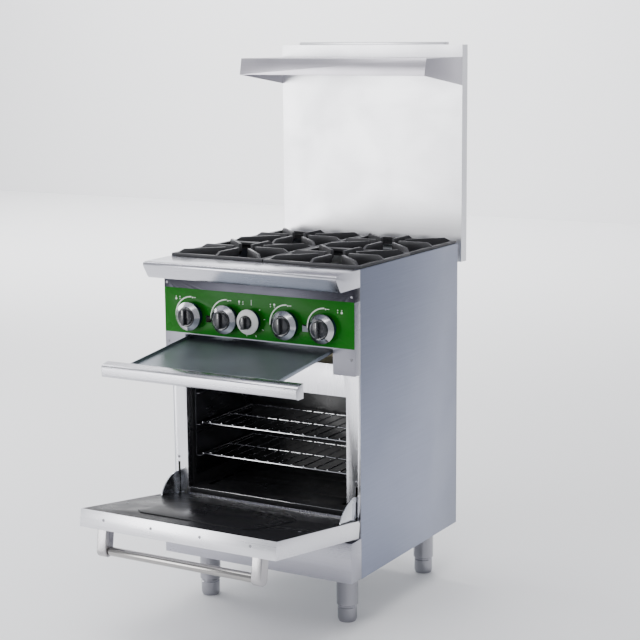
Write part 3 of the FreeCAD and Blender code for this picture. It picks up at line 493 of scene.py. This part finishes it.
frame_wire = 0.0030
cross_wire = 0.0025
rod_wire = 0.0018
rod_count = 12
rod_margin = 0.010
low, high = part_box("lower_rack")
wire_z = low.z + frame_wire
rod_z = high.z - rod_wire
wires = [
    wire_along("x", frame_wire, low.x, high.x, low.y + frame_wire, wire_z),
    wire_along("x", frame_wire, low.x, high.x, high.y - frame_wire, wire_z),
    wire_along("x", cross_wire, low.x + frame_wire, high.x - frame_wire,
               (low.y + high.y) / 2, wire_z),
    wire_along("y", frame_wire, low.y, high.y, low.x + frame_wire, wire_z),
    wire_along("y", frame_wire, low.y, high.y, high.x - frame_wire, wire_z),
]
pitch = (high.x - low.x - 2 * rod_margin) / rod_count
one_rod = wire_along("y", rod_wire, low.y, high.y, 0, rod_z, sides=10)
for index in range(rod_count):
    rod = copy_of(one_rod, "rod")
    rod.location.x = (index + 0.5 - rod_count / 2) * pitch
    wires.append(apply_all(rod))
bpy.data.objects.remove(one_rod)
lower_wires = join_pieces("lower_rack_wires", wires)
upper_wires = copy_of(lower_wires, "upper_rack_wires")
upper_wires.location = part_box("upper_rack")[0] - low
apply_all(upper_wires)
for node, rack in (("lower_rack", lower_wires), ("upper_rack", upper_wires)):
    fit_out(rack, body_of(node), SLOT_OF[node], rack_chrome, node)

# The lip of the oven floor has a bare, rolled bead along its front edge.
floor_low, floor_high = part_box("oven_floor")
bead_radius = 0.0009
bead_short = 0.002
bead = wire_along("x", bead_radius, floor_low.x + bead_short, floor_high.x - bead_short,
                  floor_low.y + bead_radius, floor_high.z)
bead.name = "oven_floor_bead"
fit_out(bead, "range", "bright_steel", rack_chrome)

# ------------------------------------------------------------------ oven door
# The door is a folded stainless box with an enamelled pressing inside it.  It
# hangs on two plated sector arms with riveted pins, drawn up by coil springs.
door_sheet = brushed_metal(
    "door_sheet", (0.80, 0.80, 0.84), roughness=0.28, grain=ALONG_X)
zinc = brushed_metal(
    "bright_zinc_plate", (0.66, 0.68, 0.72), roughness=0.20, grain=every_way(90.0),
    depth=0.15, contrast=0.25)
folded_copy("door_outer_panel", door_sheet)
door_enamel = enamel(
    "door_fired_enamel", (0.008, 0.008, 0.010), roughness=0.30, speck=0.008)
tune(door_enamel, {"IOR": 1.25, "Coat Weight": 0.03, "Specular IOR Level": 0.12})
folded_copy("door_inner_panel", door_enamel)
folded_copy("hinge_arms", zinc)
folded_copy("hinge_brackets", zinc)

# A thin bright strip closes the heel of the door, over the end of the wool.
open_by = math.radians(frame["record"]["behaviour"]["joints"][0]["range_deg"][1])
door_turn = Matrix.Rotation(open_by, 3, "X")
door_up = door_turn @ Vector((0, 0, 1))
door_in = door_turn @ Vector((0, 1, 0))
heel_thick = 0.0006
packed = [vertex.co for vertex in frame["nodes"]["door_insulation"].data.vertices]
heel = min(point.dot(door_up) for point in packed)
heel_front = min(point.dot(door_in) for point in packed)
heel_back = max(point.dot(door_in) for point in packed)
heel_half = max(point.x for point in packed)
clear_selection()
bpy.ops.mesh.primitive_cube_add(size=1)
strip = bpy.context.object
strip.name = "door_heel_strip"
strip.scale = (2 * heel_half, heel_back - heel_front, heel_thick)
strip.location = (0, (heel_front + heel_back) / 2, heel + heel_thick / 2)
bpy.ops.object.transform_apply(location=True, rotation=False, scale=True)
strip.matrix_world = door_turn.to_4x4()
round_edges(strip, heel_thick / 4)
apply_all(strip)
fit_out(strip, "door", "bright_steel", bright_level)

handle_satin = brushed_metal(
    "satin_handle_tube", (0.36, 0.35, 0.34), roughness=0.15, grain=(4.0, 400.0, 400.0),
    depth=0.2)
post_satin = brushed_metal(
    "satin_handle_post", (0.44, 0.43, 0.44), roughness=0.26, grain=(200.0, 200.0, 30.0),
    depth=0.2)
folded_copy("handle_posts", post_satin, edge=0.0030, segments=4)
bar_low, bar_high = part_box("handle_bar")
bar_radius = (bar_high.z - bar_low.z) / 2
bar = wire_along("x", bar_radius, bar_low.x, bar_high.x, (bar_low.y + bar_high.y) / 2,
                 (bar_low.z + bar_high.z) / 2, sides=48)
bar.name = "handle_bar_tube"
fit_out(bar, "door", "handle_steel", handle_satin, "handle_bar")

# --------------------------------------------------------------------- springs
# A close-wound extension spring in each column pulls its hinge arm down to the
# base pan.  Only its coils are drawn, without the looped hooks at its ends.
spring_low, spring_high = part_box("door_springs")
spring_wire = 0.0011
spring_outer = 0.0090
spring_turns = 42
steps_per_turn = 14
clear_selection()
bpy.ops.mesh.primitive_circle_add(
    vertices=8, radius=spring_wire, location=(spring_outer - spring_wire, 0, 0),
    rotation=(math.pi / 2, 0, 0))
one_coil = bpy.context.object
bpy.ops.object.transform_apply(location=True, rotation=True, scale=True)
wind = one_coil.modifiers.new("wind", "SCREW")
wind.axis = "Z"
wind.steps = steps_per_turn
wind.render_steps = steps_per_turn
wind.iterations = spring_turns
wind.screw_offset = (spring_high.z - spring_low.z - 2 * spring_wire) / spring_turns
bpy.ops.object.modifier_apply(modifier=wind.name)
springs = []
for side in (-1, 1):
    coil = copy_of(one_coil, "coil")
    coil.location = (side * (spring_high.x - spring_outer), (spring_low.y + spring_high.y) / 2,
                     spring_low.z + spring_wire)
    springs.append(apply_all(coil, smooth=60))
bpy.data.objects.remove(one_coil)
fit_out(join_pieces("door_spring_coils", springs), "range", "zinc_steel", zinc, "door_springs")

# ---------------------------------------------------------------------- screws
# Pan-head screws hold the sheets.  Each has a low domed head with a recess for
# the driver, and stands on the sheet that it clamps.
screw_steel = brushed_metal(
    "passivated_screw", (0.26, 0.26, 0.28), roughness=0.28, grain=every_way(300.0), depth=0.1)
screw_radius = 0.0040
screw_high = 0.0016
one_screw = turn("one_screw", [
    (screw_radius, 0.0), (screw_radius, 0.0006), (screw_radius * 0.86, 0.0012),
    (screw_radius * 0.55, screw_high), (screw_radius * 0.42, screw_high),
    (screw_radius * 0.34, 0.0007), (screw_radius * 0.05, 0.0006),
], sides=20)


def screw_head(points, facing):
    """A screw's head, turned to face out from where its solid's points end."""
    head = copy_of(one_screw, "head")
    turned = Vector((0, 0, 1)).rotation_difference(facing)
    place = Matrix.Translation(head_place(points, facing, screw_high))
    head.matrix_world = place @ turned.to_matrix().to_4x4()
    return apply_all(head, smooth=40)


def islands(node):
    """The points of each separate solid in a node."""
    mesh = frame["nodes"][node].data
    places = [tuple(round(part, 5) for part in vertex.co) for vertex in mesh.vertices]
    keys = {}
    for place in places:
        keys.setdefault(place, len(keys))
    index = [keys[place] for place in places]
    parent = list(range(len(keys)))

    def root(item):
        while parent[item] != item:
            parent[item] = parent[parent[item]]
            item = parent[item]
        return item

    for face in mesh.polygons:
        first = root(index[face.vertices[0]])
        for corner in face.vertices[1:]:
            parent[root(index[corner])] = first
    found = {}
    for vertex in mesh.vertices:
        found.setdefault(root(index[vertex.index]), []).append(vertex.co)
    return list(found.values())


def head_place(points, facing, deep):
    """Where a screw's head starts: on its axis, deep below its outermost face."""
    top = max(point.dot(facing) for point in points)
    flat = [point - facing * point.dot(facing) for point in points]
    middle = Vector([(min(point[axis] for point in flat) + max(point[axis] for point in flat)) / 2
                     for axis in range(3)])
    middle -= facing * middle.dot(facing)
    return middle + facing * (top - deep)


door_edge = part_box("door_outer_panel")[0].y + 0.020
door_heads = []
for points in islands("door_screws"):
    at_edge = min(point.y for point in points) < door_edge
    door_heads.append(screw_head(points, door_up if at_edge else door_in))
fit_out(join_pieces("door_screw_heads", door_heads), "door", "zinc_steel", screw_steel,
        "door_screws")
body_heads = [screw_head(points, Vector((0, -1, 0))) for points in islands("body_screws")]
fit_out(join_pieces("body_screw_heads", body_heads), "range", "zinc_steel", screw_steel,
        "body_screws")
bpy.data.objects.remove(one_screw)

# --------------------------------------------------------------- control panel
# The control panel is a folded sheet with an ear each side of the drip tray.
# Its fascia is a gloss green printed sheet with white marks round each knob.
panel_sheet = brushed_metal(
    "control_panel_sheet", (0.26, 0.26, 0.30), roughness=0.30, grain=ALONG_X)
fascia_low, fascia_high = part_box("control_fascia")
fascia_front = fascia_low.y
panel_nodes = panel_sheet.node_tree.nodes
panel_links = panel_sheet.node_tree.links
# Painted shade: above the top of the fascia the panel's colour runs to near black, for the shade
# of the landing ledge that hangs over it.
panel_place = panel_nodes.new("ShaderNodeTexCoord")
panel_height = panel_nodes.new("ShaderNodeSeparateXYZ")
panel_links.new(panel_place.outputs["Object"], panel_height.inputs[0])
ledge_shade_band = panel_nodes.new("ShaderNodeMapRange")
ledge_shade_band.inputs["From Min"].default_value = fascia_high.z - 0.001
ledge_shade_band.inputs["From Max"].default_value = fascia_high.z
panel_links.new(panel_height.outputs["Z"], ledge_shade_band.inputs["Value"])
panel_links.new(mix_colours(panel_nodes, panel_links, ledge_shade_band.outputs["Result"],
                            (0.30, 0.30, 0.34), (0.050, 0.050, 0.062)),
                panel_nodes["Principled BSDF"].inputs["Base Color"])
folded_copy("control_panel", panel_sheet)

fascia_green = enamel(
    "gloss_green_print", (0.0020, 0.120, 0.0004), roughness=0.34, speck=0.001)
tune(fascia_green, {"Coat Weight": 0.04, "Specular IOR Level": 0.12})
folded_copy("control_fascia", fascia_green, edge=0.0003)

print_white, ink_nodes, ink_links, ink_shader = start_material("white_print_ink")
ink_shader.inputs["Roughness"].default_value = 0.45
ink_wear = group_node(ink_nodes, smudge_group, Size=400.0)
ink_links.new(mix_colours(ink_nodes, ink_links, ink_wear.outputs["Mask"],
                          (0.62, 0.74, 0.60), (0.90, 0.93, 0.89)),
              ink_shader.inputs["Base Color"])

knob_nodes = ["burner_knob_1", "burner_knob_2", "oven_knob", "burner_knob_3", "burner_knob_4"]
ink_thick = 0.00035


def knob_centre(node):
    """Where a knob's axis meets the fascia's front."""
    low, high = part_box(node)
    return Vector(((low.x + high.x) / 2, fascia_front, (low.z + high.z) / 2))


def printed_arc(centre, radius, width, start, end, steps=24):
    """A flat arc band on the fascia: an edge spun round the knob's centre."""
    clear_selection()
    bpy.ops.mesh.primitive_plane_add(size=1, location=(0, 0, 0))
    band = bpy.context.object
    bpy.ops.object.mode_set(mode="EDIT")
    bpy.ops.mesh.select_mode(type="VERT")
    bpy.ops.mesh.select_all(action="SELECT")
    bpy.ops.mesh.merge(type="CENTER")
    bpy.ops.transform.translate(value=(radius - width / 2, 0, 0))
    bpy.ops.mesh.extrude_vertices_move(TRANSFORM_OT_translate={"value": (width, 0, 0)})
    bpy.ops.mesh.select_all(action="SELECT")
    bpy.ops.mesh.spin(steps=steps, angle=end - start, center=(0, 0, 0), axis=(0, 0, 1))
    bpy.ops.mesh.select_all(action="SELECT")
    bpy.ops.mesh.normals_make_consistent(inside=False)
    bpy.ops.object.mode_set(mode="OBJECT")
    thick = band.modifiers.new("ink", "SOLIDIFY")
    thick.thickness = ink_thick
    thick.offset = 0
    band.matrix_world = (
        Matrix.Translation(centre - Vector((0, ink_thick / 2, 0)))
        @ Matrix.Rotation(math.pi / 2, 4, "X") @ Matrix.Rotation(end, 4, "Z"))
    return apply_all(band)


def printed_block(x, z, wide, high, turned=0.0):
    """A printed bar, turned in the plane of the fascia."""
    clear_selection()
    bpy.ops.mesh.primitive_cube_add(size=1)
    mark = bpy.context.object
    mark.scale = (wide, ink_thick, high)
    mark.rotation_euler = (0, turned, 0)
    mark.location = (x, fascia_front - ink_thick / 2, z)
    return apply_all(mark)


FACE_FORWARD = Matrix.Rotation(math.pi / 2, 4, "X")


def printed_dot(x, z, radius):
    """A round printed dot."""
    dot = turn("dot", [(radius, 0), (radius, ink_thick)], sides=16)
    dot.matrix_world = Matrix.Translation((x, fascia_front, z)) @ FACE_FORWARD
    return apply_all(dot)


def place_icon(x, z, here):
    """Four dots for the four burners, with the one that this knob lights larger."""
    marks = []
    for index, (dx, dz) in enumerate(((-1, 1), (1, 1), (-1, -1), (1, -1))):
        radius = 0.0030 if index == here else 0.0015
        marks.append(printed_dot(x + dx * 0.0060, z + dz * 0.0030, radius))
    return marks


mark_height = 0.0500
tick_circle = 0.0425
tick_count = 6
tick_step = math.radians(40)
arc_radius = 0.0520
arc_width = 0.0034
arc_ends = (math.radians(90), math.radians(185))
# Each burner knob: which of the four dots is large, and how far to the side they are.
icon_of = {"burner_knob_1": (2, -0.044), "burner_knob_2": (0, 0.046),
           "burner_knob_3": (1, -0.044), "burner_knob_4": (3, 0.046)}
marks = []
for node in knob_nodes:
    centre = knob_centre(node)
    if node == "oven_knob":
        marks.append(printed_block(centre.x + 0.001, centre.z + mark_height, 0.0016, 0.0150))
        for index in range(1, tick_count + 1):
            turned = index * tick_step
            marks.append(printed_block(
                centre.x + math.sin(turned) * tick_circle,
                centre.z + math.cos(turned) * tick_circle, 0.0014, 0.005, turned))
        continue
    marks.append(printed_arc(centre, arc_radius, arc_width, *arc_ends))
    marks.append(printed_dot(centre.x + 0.004, centre.z + mark_height, 0.0022))
    marks.append(printed_block(centre.x + 0.011, centre.z + mark_height + 0.0005,
                               0.0070, 0.0018))
    large_dot, shift = icon_of[node]
    marks += place_icon(centre.x + shift, centre.z + mark_height - 0.0030, large_dot)
fit_out(join_pieces("fascia_prints", marks), "range", "print_white", print_white)

# ----------------------------------------------------------------------- knobs
# Each knob is moulded black phenolic with a spun bright bezel pressed over its
# skirt, and a finger bar with a white line.  The oven dial has a white ring.


def moulded(name, colour, roughness):
    """Moulded phenolic: a gloss skin with a fine grain and finger marks."""
    material = enamel(name, colour, roughness, speck=0.006)
    tune(material, {"Coat Weight": 0.35})
    return material


knob_black = moulded("black_phenolic", (0.014, 0.015, 0.020), 0.26)
# The skirt is black phenolic; its dark blue colour is a painted reflection and painted shade.
skirt_painted_reflection = moulded("black_skirt_painted_reflection", (0.008, 0.014, 0.055), 0.40)
bezel_bright = brushed_metal(
    "spun_bezel", (0.50, 0.50, 0.52), roughness=0.20, grain=every_way(300.0),
    depth=0.25, contrast=0.22)
dial_white = moulded("white_dial_ring", (0.80, 0.80, 0.78), 0.30)
line_white = moulded("white_line", (0.85, 0.85, 0.83), 0.35)


def set_on_fascia(piece, centre):
    """Turn a piece made upright to face forward, with its foot on the fascia."""
    piece.matrix_world = Matrix.Translation(centre) @ FACE_FORWARD
    return apply_all(piece)


def finger_bar(name, half_wide, half_long, low, high):
    """The bar across a knob: a block drawn in at its sides, with rounded edges."""
    clear_selection()
    bpy.ops.mesh.primitive_cube_add(size=1)
    bar = bpy.context.object
    bar.name = name
    bar.scale = (2 * half_wide, 2 * half_long, high - low)
    bar.location = (0, 0, (low + high) / 2)
    bpy.ops.object.transform_apply(location=True, rotation=False, scale=True)
    bpy.ops.object.mode_set(mode="EDIT")
    bpy.ops.mesh.select_all(action="SELECT")
    bpy.ops.transform.resize(value=(0.72, 0.94, 1), center_override=(0, 0, high))
    bpy.ops.object.mode_set(mode="OBJECT")
    round_edges(bar, 0.0018, segments=3)
    return bar


for node in knob_nodes:
    centre = knob_centre(node)
    body = body_of(node)
    if node == "oven_knob":
        rim, grip, bezel_step, half_wide = 0.0340, 0.0185, 0.0020, 0.0080
        slot, finish = "dial_white", dial_white
    else:
        rim, grip, bezel_step, half_wide = 0.0395, 0.0240, 0.0035, 0.0068
        slot, finish = "knob_chrome", bezel_bright
    skirt = turn(node + "_skirt", [
        (rim - 0.0044, 0.0006), (rim - 0.0040, 0.0010), (rim - 0.0040, 0.0150),
        (rim - 0.0060, 0.0170),
    ])
    fit_out(set_on_fascia(skirt, centre), body, "knob_plastic", skirt_painted_reflection)
    bezel_top = grip + bezel_step
    bezel = turn(node + "_bezel", [
        (rim - 0.0100, 0.0160), (rim - 0.0010, 0.0170), (rim, 0.0178), (rim, 0.0196),
        (rim - 0.0010, 0.0208), (bezel_top + 0.0006, 0.0284), (bezel_top, 0.0290),
        (bezel_top - 0.0012, 0.0284), (grip, 0.0270),
    ], sides=72)
    fit_out(set_on_fascia(bezel, centre), body, slot, finish)
    hub = turn(node + "_hub", [
        (grip, 0.0268), (grip, 0.0315), (grip - 0.0012, 0.0345), (grip - 0.0035, 0.0358),
    ])
    fit_out(set_on_fascia(hub, centre), body, "knob_plastic", knob_black)
    grip_bar = finger_bar(node + "_grip", half_wide, grip - 0.0008, 0.0335, 0.0468)
    fit_out(set_on_fascia(grip_bar, centre), body, "knob_plastic", knob_black, node)
    line = finger_bar(node + "_line", 0.0009, grip * 0.30, 0.0462, 0.0470)
    pick(line)
    line.modifiers.clear()
    line.location = (0, grip * 0.58, 0)
    bpy.ops.object.transform_apply(location=True)
    fit_out(set_on_fascia(line, centre), body, "dial_white", line_white)

# --------------------------------------------------------------- gas and valves
# Behind the panel: black iron gas pipe, machined brass valves and stems, and
# the thermostat with its feed pipe down to the oven burner.
pipe_black = enamel("black_gas_pipe", (0.030, 0.030, 0.033), roughness=0.45, speck=0.01)
brass = brushed_metal(
    "machined_brass", (0.72, 0.53, 0.24), roughness=0.24, grain=every_way(120.0), depth=0.15)
folded_copy("gas_manifold", pipe_black)
paint_node("oven_gas_pipe", pipe_black)
paint_node("pilot_burners", pipe_black)
folded_copy("burner_valves", brass, edge=0.0005)
folded_copy("oven_thermostat", brass, edge=0.0005)
for node in SLOT_OF:
    if "stem" in node:
        paint_node(node, brass)

# --------------------------------------------------------------- landing ledge
# The ledge is one sheet folded to a bull nose: a flat top, a rounded bright
# nose, and a face that leans back under it.  Its ends are welded shut.
ledge_bright = brushed_metal(
    "ledge_sheet", (0.58, 0.58, 0.63), roughness=0.24, grain=ALONG_X)
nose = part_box("landing_ledge")[0].y
at_front = 0.0005
folded_copy("landing_ledge", ledge_bright, fold=FOLD_RADIUS,
            at_fold=lambda point: point.y < nose + at_front)

# ------------------------------------------------------------------- drip tray
# The drip tray is dull aluminised sheet on two rails, with a bright rolled
# front that is as wide as the range.
tray_dull = brushed_metal(
    "aluminised_tray", (0.27, 0.30, 0.34), roughness=0.40, grain=ALONG_X,
    depth=0.3, contrast=0.12)
tray_bright = brushed_metal(
    "tray_front_sheet", (0.62, 0.62, 0.66), roughness=0.25, grain=ALONG_X)
folded_copy("drip_tray", tray_dull)
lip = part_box("tray_front")[0].y
folded_copy("tray_front", tray_bright, fold=FOLD_RADIUS,
            at_fold=lambda point: point.y < lip + at_front)

# --------------------------------------------------------------------- cooktop
# Cast-iron burners with ported heads sit under four cast-iron grates on an
# enamelled frame.  The castings are rough, with rounded arrises.


def cast_iron(name, colour, roughness):
    """Rough cast iron, paler where the skin stands up."""
    material, nodes, links, shader = start_material(name)
    shader.inputs["Metallic"].default_value = 0.35
    skin = group_node(nodes, grain_group, Scale=every_way(420.0), Depth=0.85)
    worn = group_node(nodes, smudge_group, Size=14.0, Low=roughness - 0.08,
                      High=roughness + 0.10)
    links.new(worn.outputs["Mask"], shader.inputs["Roughness"])
    links.new(skin.outputs["Normal"], shader.inputs["Normal"])
    pale = [part * 1.9 for part in colour]
    links.new(mix_colours(nodes, links, skin.outputs["Streaks"], colour, pale),
              shader.inputs["Base Color"])
    return material


grate_iron = cast_iron("grate_casting", (0.030, 0.030, 0.033), 0.46)
burner_iron = cast_iron("burner_casting", (0.045, 0.042, 0.040), 0.60)
folded_copy("cooktop_frame", black_enamel)
folded_copy("top_burners", burner_iron, edge=0.0012)
for node in SLOT_OF:
    if node.endswith("_grate"):
        folded_copy(node, grate_iron, edge=0.0013)

head_sides = 72
port_every = 3
port_rim = 0.0004
port_deep = 0.003
port_low = 0.0042
port_high = 0.0108
# Known fault: the first head is opened with all its edges selected, so all of its
# faces are drawn in.  The other three have ports round their rims only.
heads = []
for points in islands("burner_heads"):
    low = Vector([min(point[axis] for point in points) for axis in range(3)])
    high = Vector([max(point[axis] for point in points) for axis in range(3)])
    head = turn("head", [
        (0.0440, 0.0), (0.0440, 0.0030), (0.0425, 0.0040), (0.0425, 0.0110), (0.0400, 0.0130),
        (0.0360, 0.0185), (0.0300, 0.0195), (0.0285, 0.0180), (0.0160, 0.0180),
        (0.0140, 0.0215), (0.0060, 0.0220),
    ], sides=head_sides)
    for face in head.data.polygons:
        around = math.degrees(math.atan2(face.center.y, face.center.x))
        side = round(around / (360 / head_sides))
        upright = port_low < face.center.z < port_high and abs(face.normal.z) < 0.2
        face.select = upright and side % port_every == 0
    bpy.ops.object.mode_set(mode="EDIT")
    bpy.ops.mesh.select_mode(type="FACE")
    bpy.ops.mesh.inset(thickness=port_rim, use_individual=True)
    bpy.ops.mesh.extrude_faces_move(TRANSFORM_OT_shrink_fatten={"value": -port_deep})
    bpy.ops.object.mode_set(mode="OBJECT")
    head.location = ((low.x + high.x) / 2, (low.y + high.y) / 2, low.z)
    heads.append(apply_all(head))
fit_out(join_pieces("burner_head_castings", heads), "range", "cast_iron", burner_iron,
        "burner_heads")

# -------------------------------------------------------------- riser and shelf
# The flue riser is two bright sheets with welded sides and a louvred cap, and
# the high shelf is a folded sheet with gussets, hung on its front.
riser_bright = brushed_metal(
    "riser_sheet", (0.90, 0.90, 0.93), roughness=0.34, grain=ALONG_X,
    depth=0.15, contrast=0.06)
shelf_sheet = brushed_metal(
    "shelf_sheet", (0.55, 0.53, 0.58), roughness=0.32, grain=ALONG_X)
paint_node("flue_riser", riser_bright)
folded_copy("high_shelf", shelf_sheet)

cap_low, cap_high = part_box("flue_cap")
folded_copy("flue_cap", riser_bright)
louvre_pitch = 0.020
louvre_thick = 0.0008
louvre_wide = 0.0062
louvre_lean = math.radians(35)
louvre_drop = 0.0042
cap_rim = 0.003
louvre_count = int((cap_high.x - cap_low.x - 0.016) / louvre_pitch)
clear_selection()
bpy.ops.mesh.primitive_cube_add(size=1)
one_louvre = bpy.context.object
one_louvre.scale = (louvre_thick, cap_high.y - cap_low.y - 2 * cap_rim, louvre_wide)
one_louvre.rotation_euler = (0, louvre_lean, 0)
apply_all(one_louvre)
louvres = []
for index in range(louvre_count):
    louvre = copy_of(one_louvre, "louvre")
    louvre.location = ((index - (louvre_count - 1) / 2) * louvre_pitch,
                       (cap_low.y + cap_high.y) / 2, cap_high.z - louvre_drop)
    louvres.append(apply_all(louvre))
bpy.data.objects.remove(one_louvre)
fit_out(join_pieces("flue_cap_louvres", louvres), "range", "bright_steel", riser_bright)

# ---------------------------------------------------------------------- studio
# A pale floor and backdrop, with soft light from the front left, the side and
# above, and a wash of light on the backdrop.
studio_paper = start_material("studio_paper")[0]
tune(studio_paper, {"Base Color": (0.92, 0.92, 0.93, 1.0), "Roughness": 0.9})
studio_wide = 30
clear_selection()
bpy.ops.mesh.primitive_plane_add(size=studio_wide, location=(0, 4, 0))
floor = bpy.context.object
floor.name = "studio_floor"
floor.data.materials.append(studio_paper)

clear_selection()
bpy.ops.mesh.primitive_plane_add(
    size=studio_wide, location=(0, 9, 4), rotation=(math.pi / 2, 0, 0))
backdrop = bpy.context.object
backdrop.name = "studio_backdrop"
backdrop.data.materials.append(studio_paper)

world = bpy.data.worlds.new("studio_air")
world.use_nodes = True
air = world.node_tree.nodes["Background"]
air.inputs["Color"].default_value = (0.93, 0.95, 1.0, 1.0)
air.inputs["Strength"].default_value = 0.62
bpy.context.scene.world = world


def soft_light(name, place, target, size, power):
    """A rectangular area light at a place, aimed at a target, in watts."""
    data = bpy.data.lights.new(name, "AREA")
    data.shape = "RECTANGLE"
    data.size, data.size_y = size
    data.energy = power
    lamp = bpy.data.objects.new(name, data)
    bpy.context.collection.objects.link(lamp)
    aim = (Vector(target) - Vector(place)).to_track_quat("-Z", "Y")
    lamp.matrix_world = Matrix.Translation(place) @ aim.to_matrix().to_4x4()


soft_light("front_softbox", (-2.6, -3.9, 1.1), (0, 0, 0.8), (2.2, 2.4), 95)
soft_light("side_softbox", (-3.2, 0.4, 2.2), (0, 0, 0.8), (1.6, 2.2), 60)
soft_light("top_softbox", (0.2, -0.8, 3.8), (0, 0, 0.9), (3.0, 3.0), 110)
soft_light("backdrop_wash", (-5.0, 4.5, 5.5), (-5.0, 8.5, 0.5), (7.0, 3.0), 950)

camera_data = bpy.data.cameras.new("catalogue_camera")
camera_data.lens = 91.76
camera_data.sensor_width = 36.0
camera = bpy.data.objects.new("catalogue_camera", camera_data)
bpy.context.collection.objects.link(camera)
camera_place = Vector((2.3096, -3.76735, 1.5954))
camera_heading = math.radians(30.2)
camera_dip = math.radians(10.11)
camera_roll = math.radians(-0.52)
camera_turn = (
    Matrix.Rotation(camera_heading, 4, "Z")
    @ Matrix.Rotation(math.pi / 2 - camera_dip, 4, "X")
    @ Matrix.Rotation(camera_roll, 4, "Z"))
camera.matrix_world = Matrix.Translation(camera_place) @ camera_turn
bpy.context.scene.camera = camera
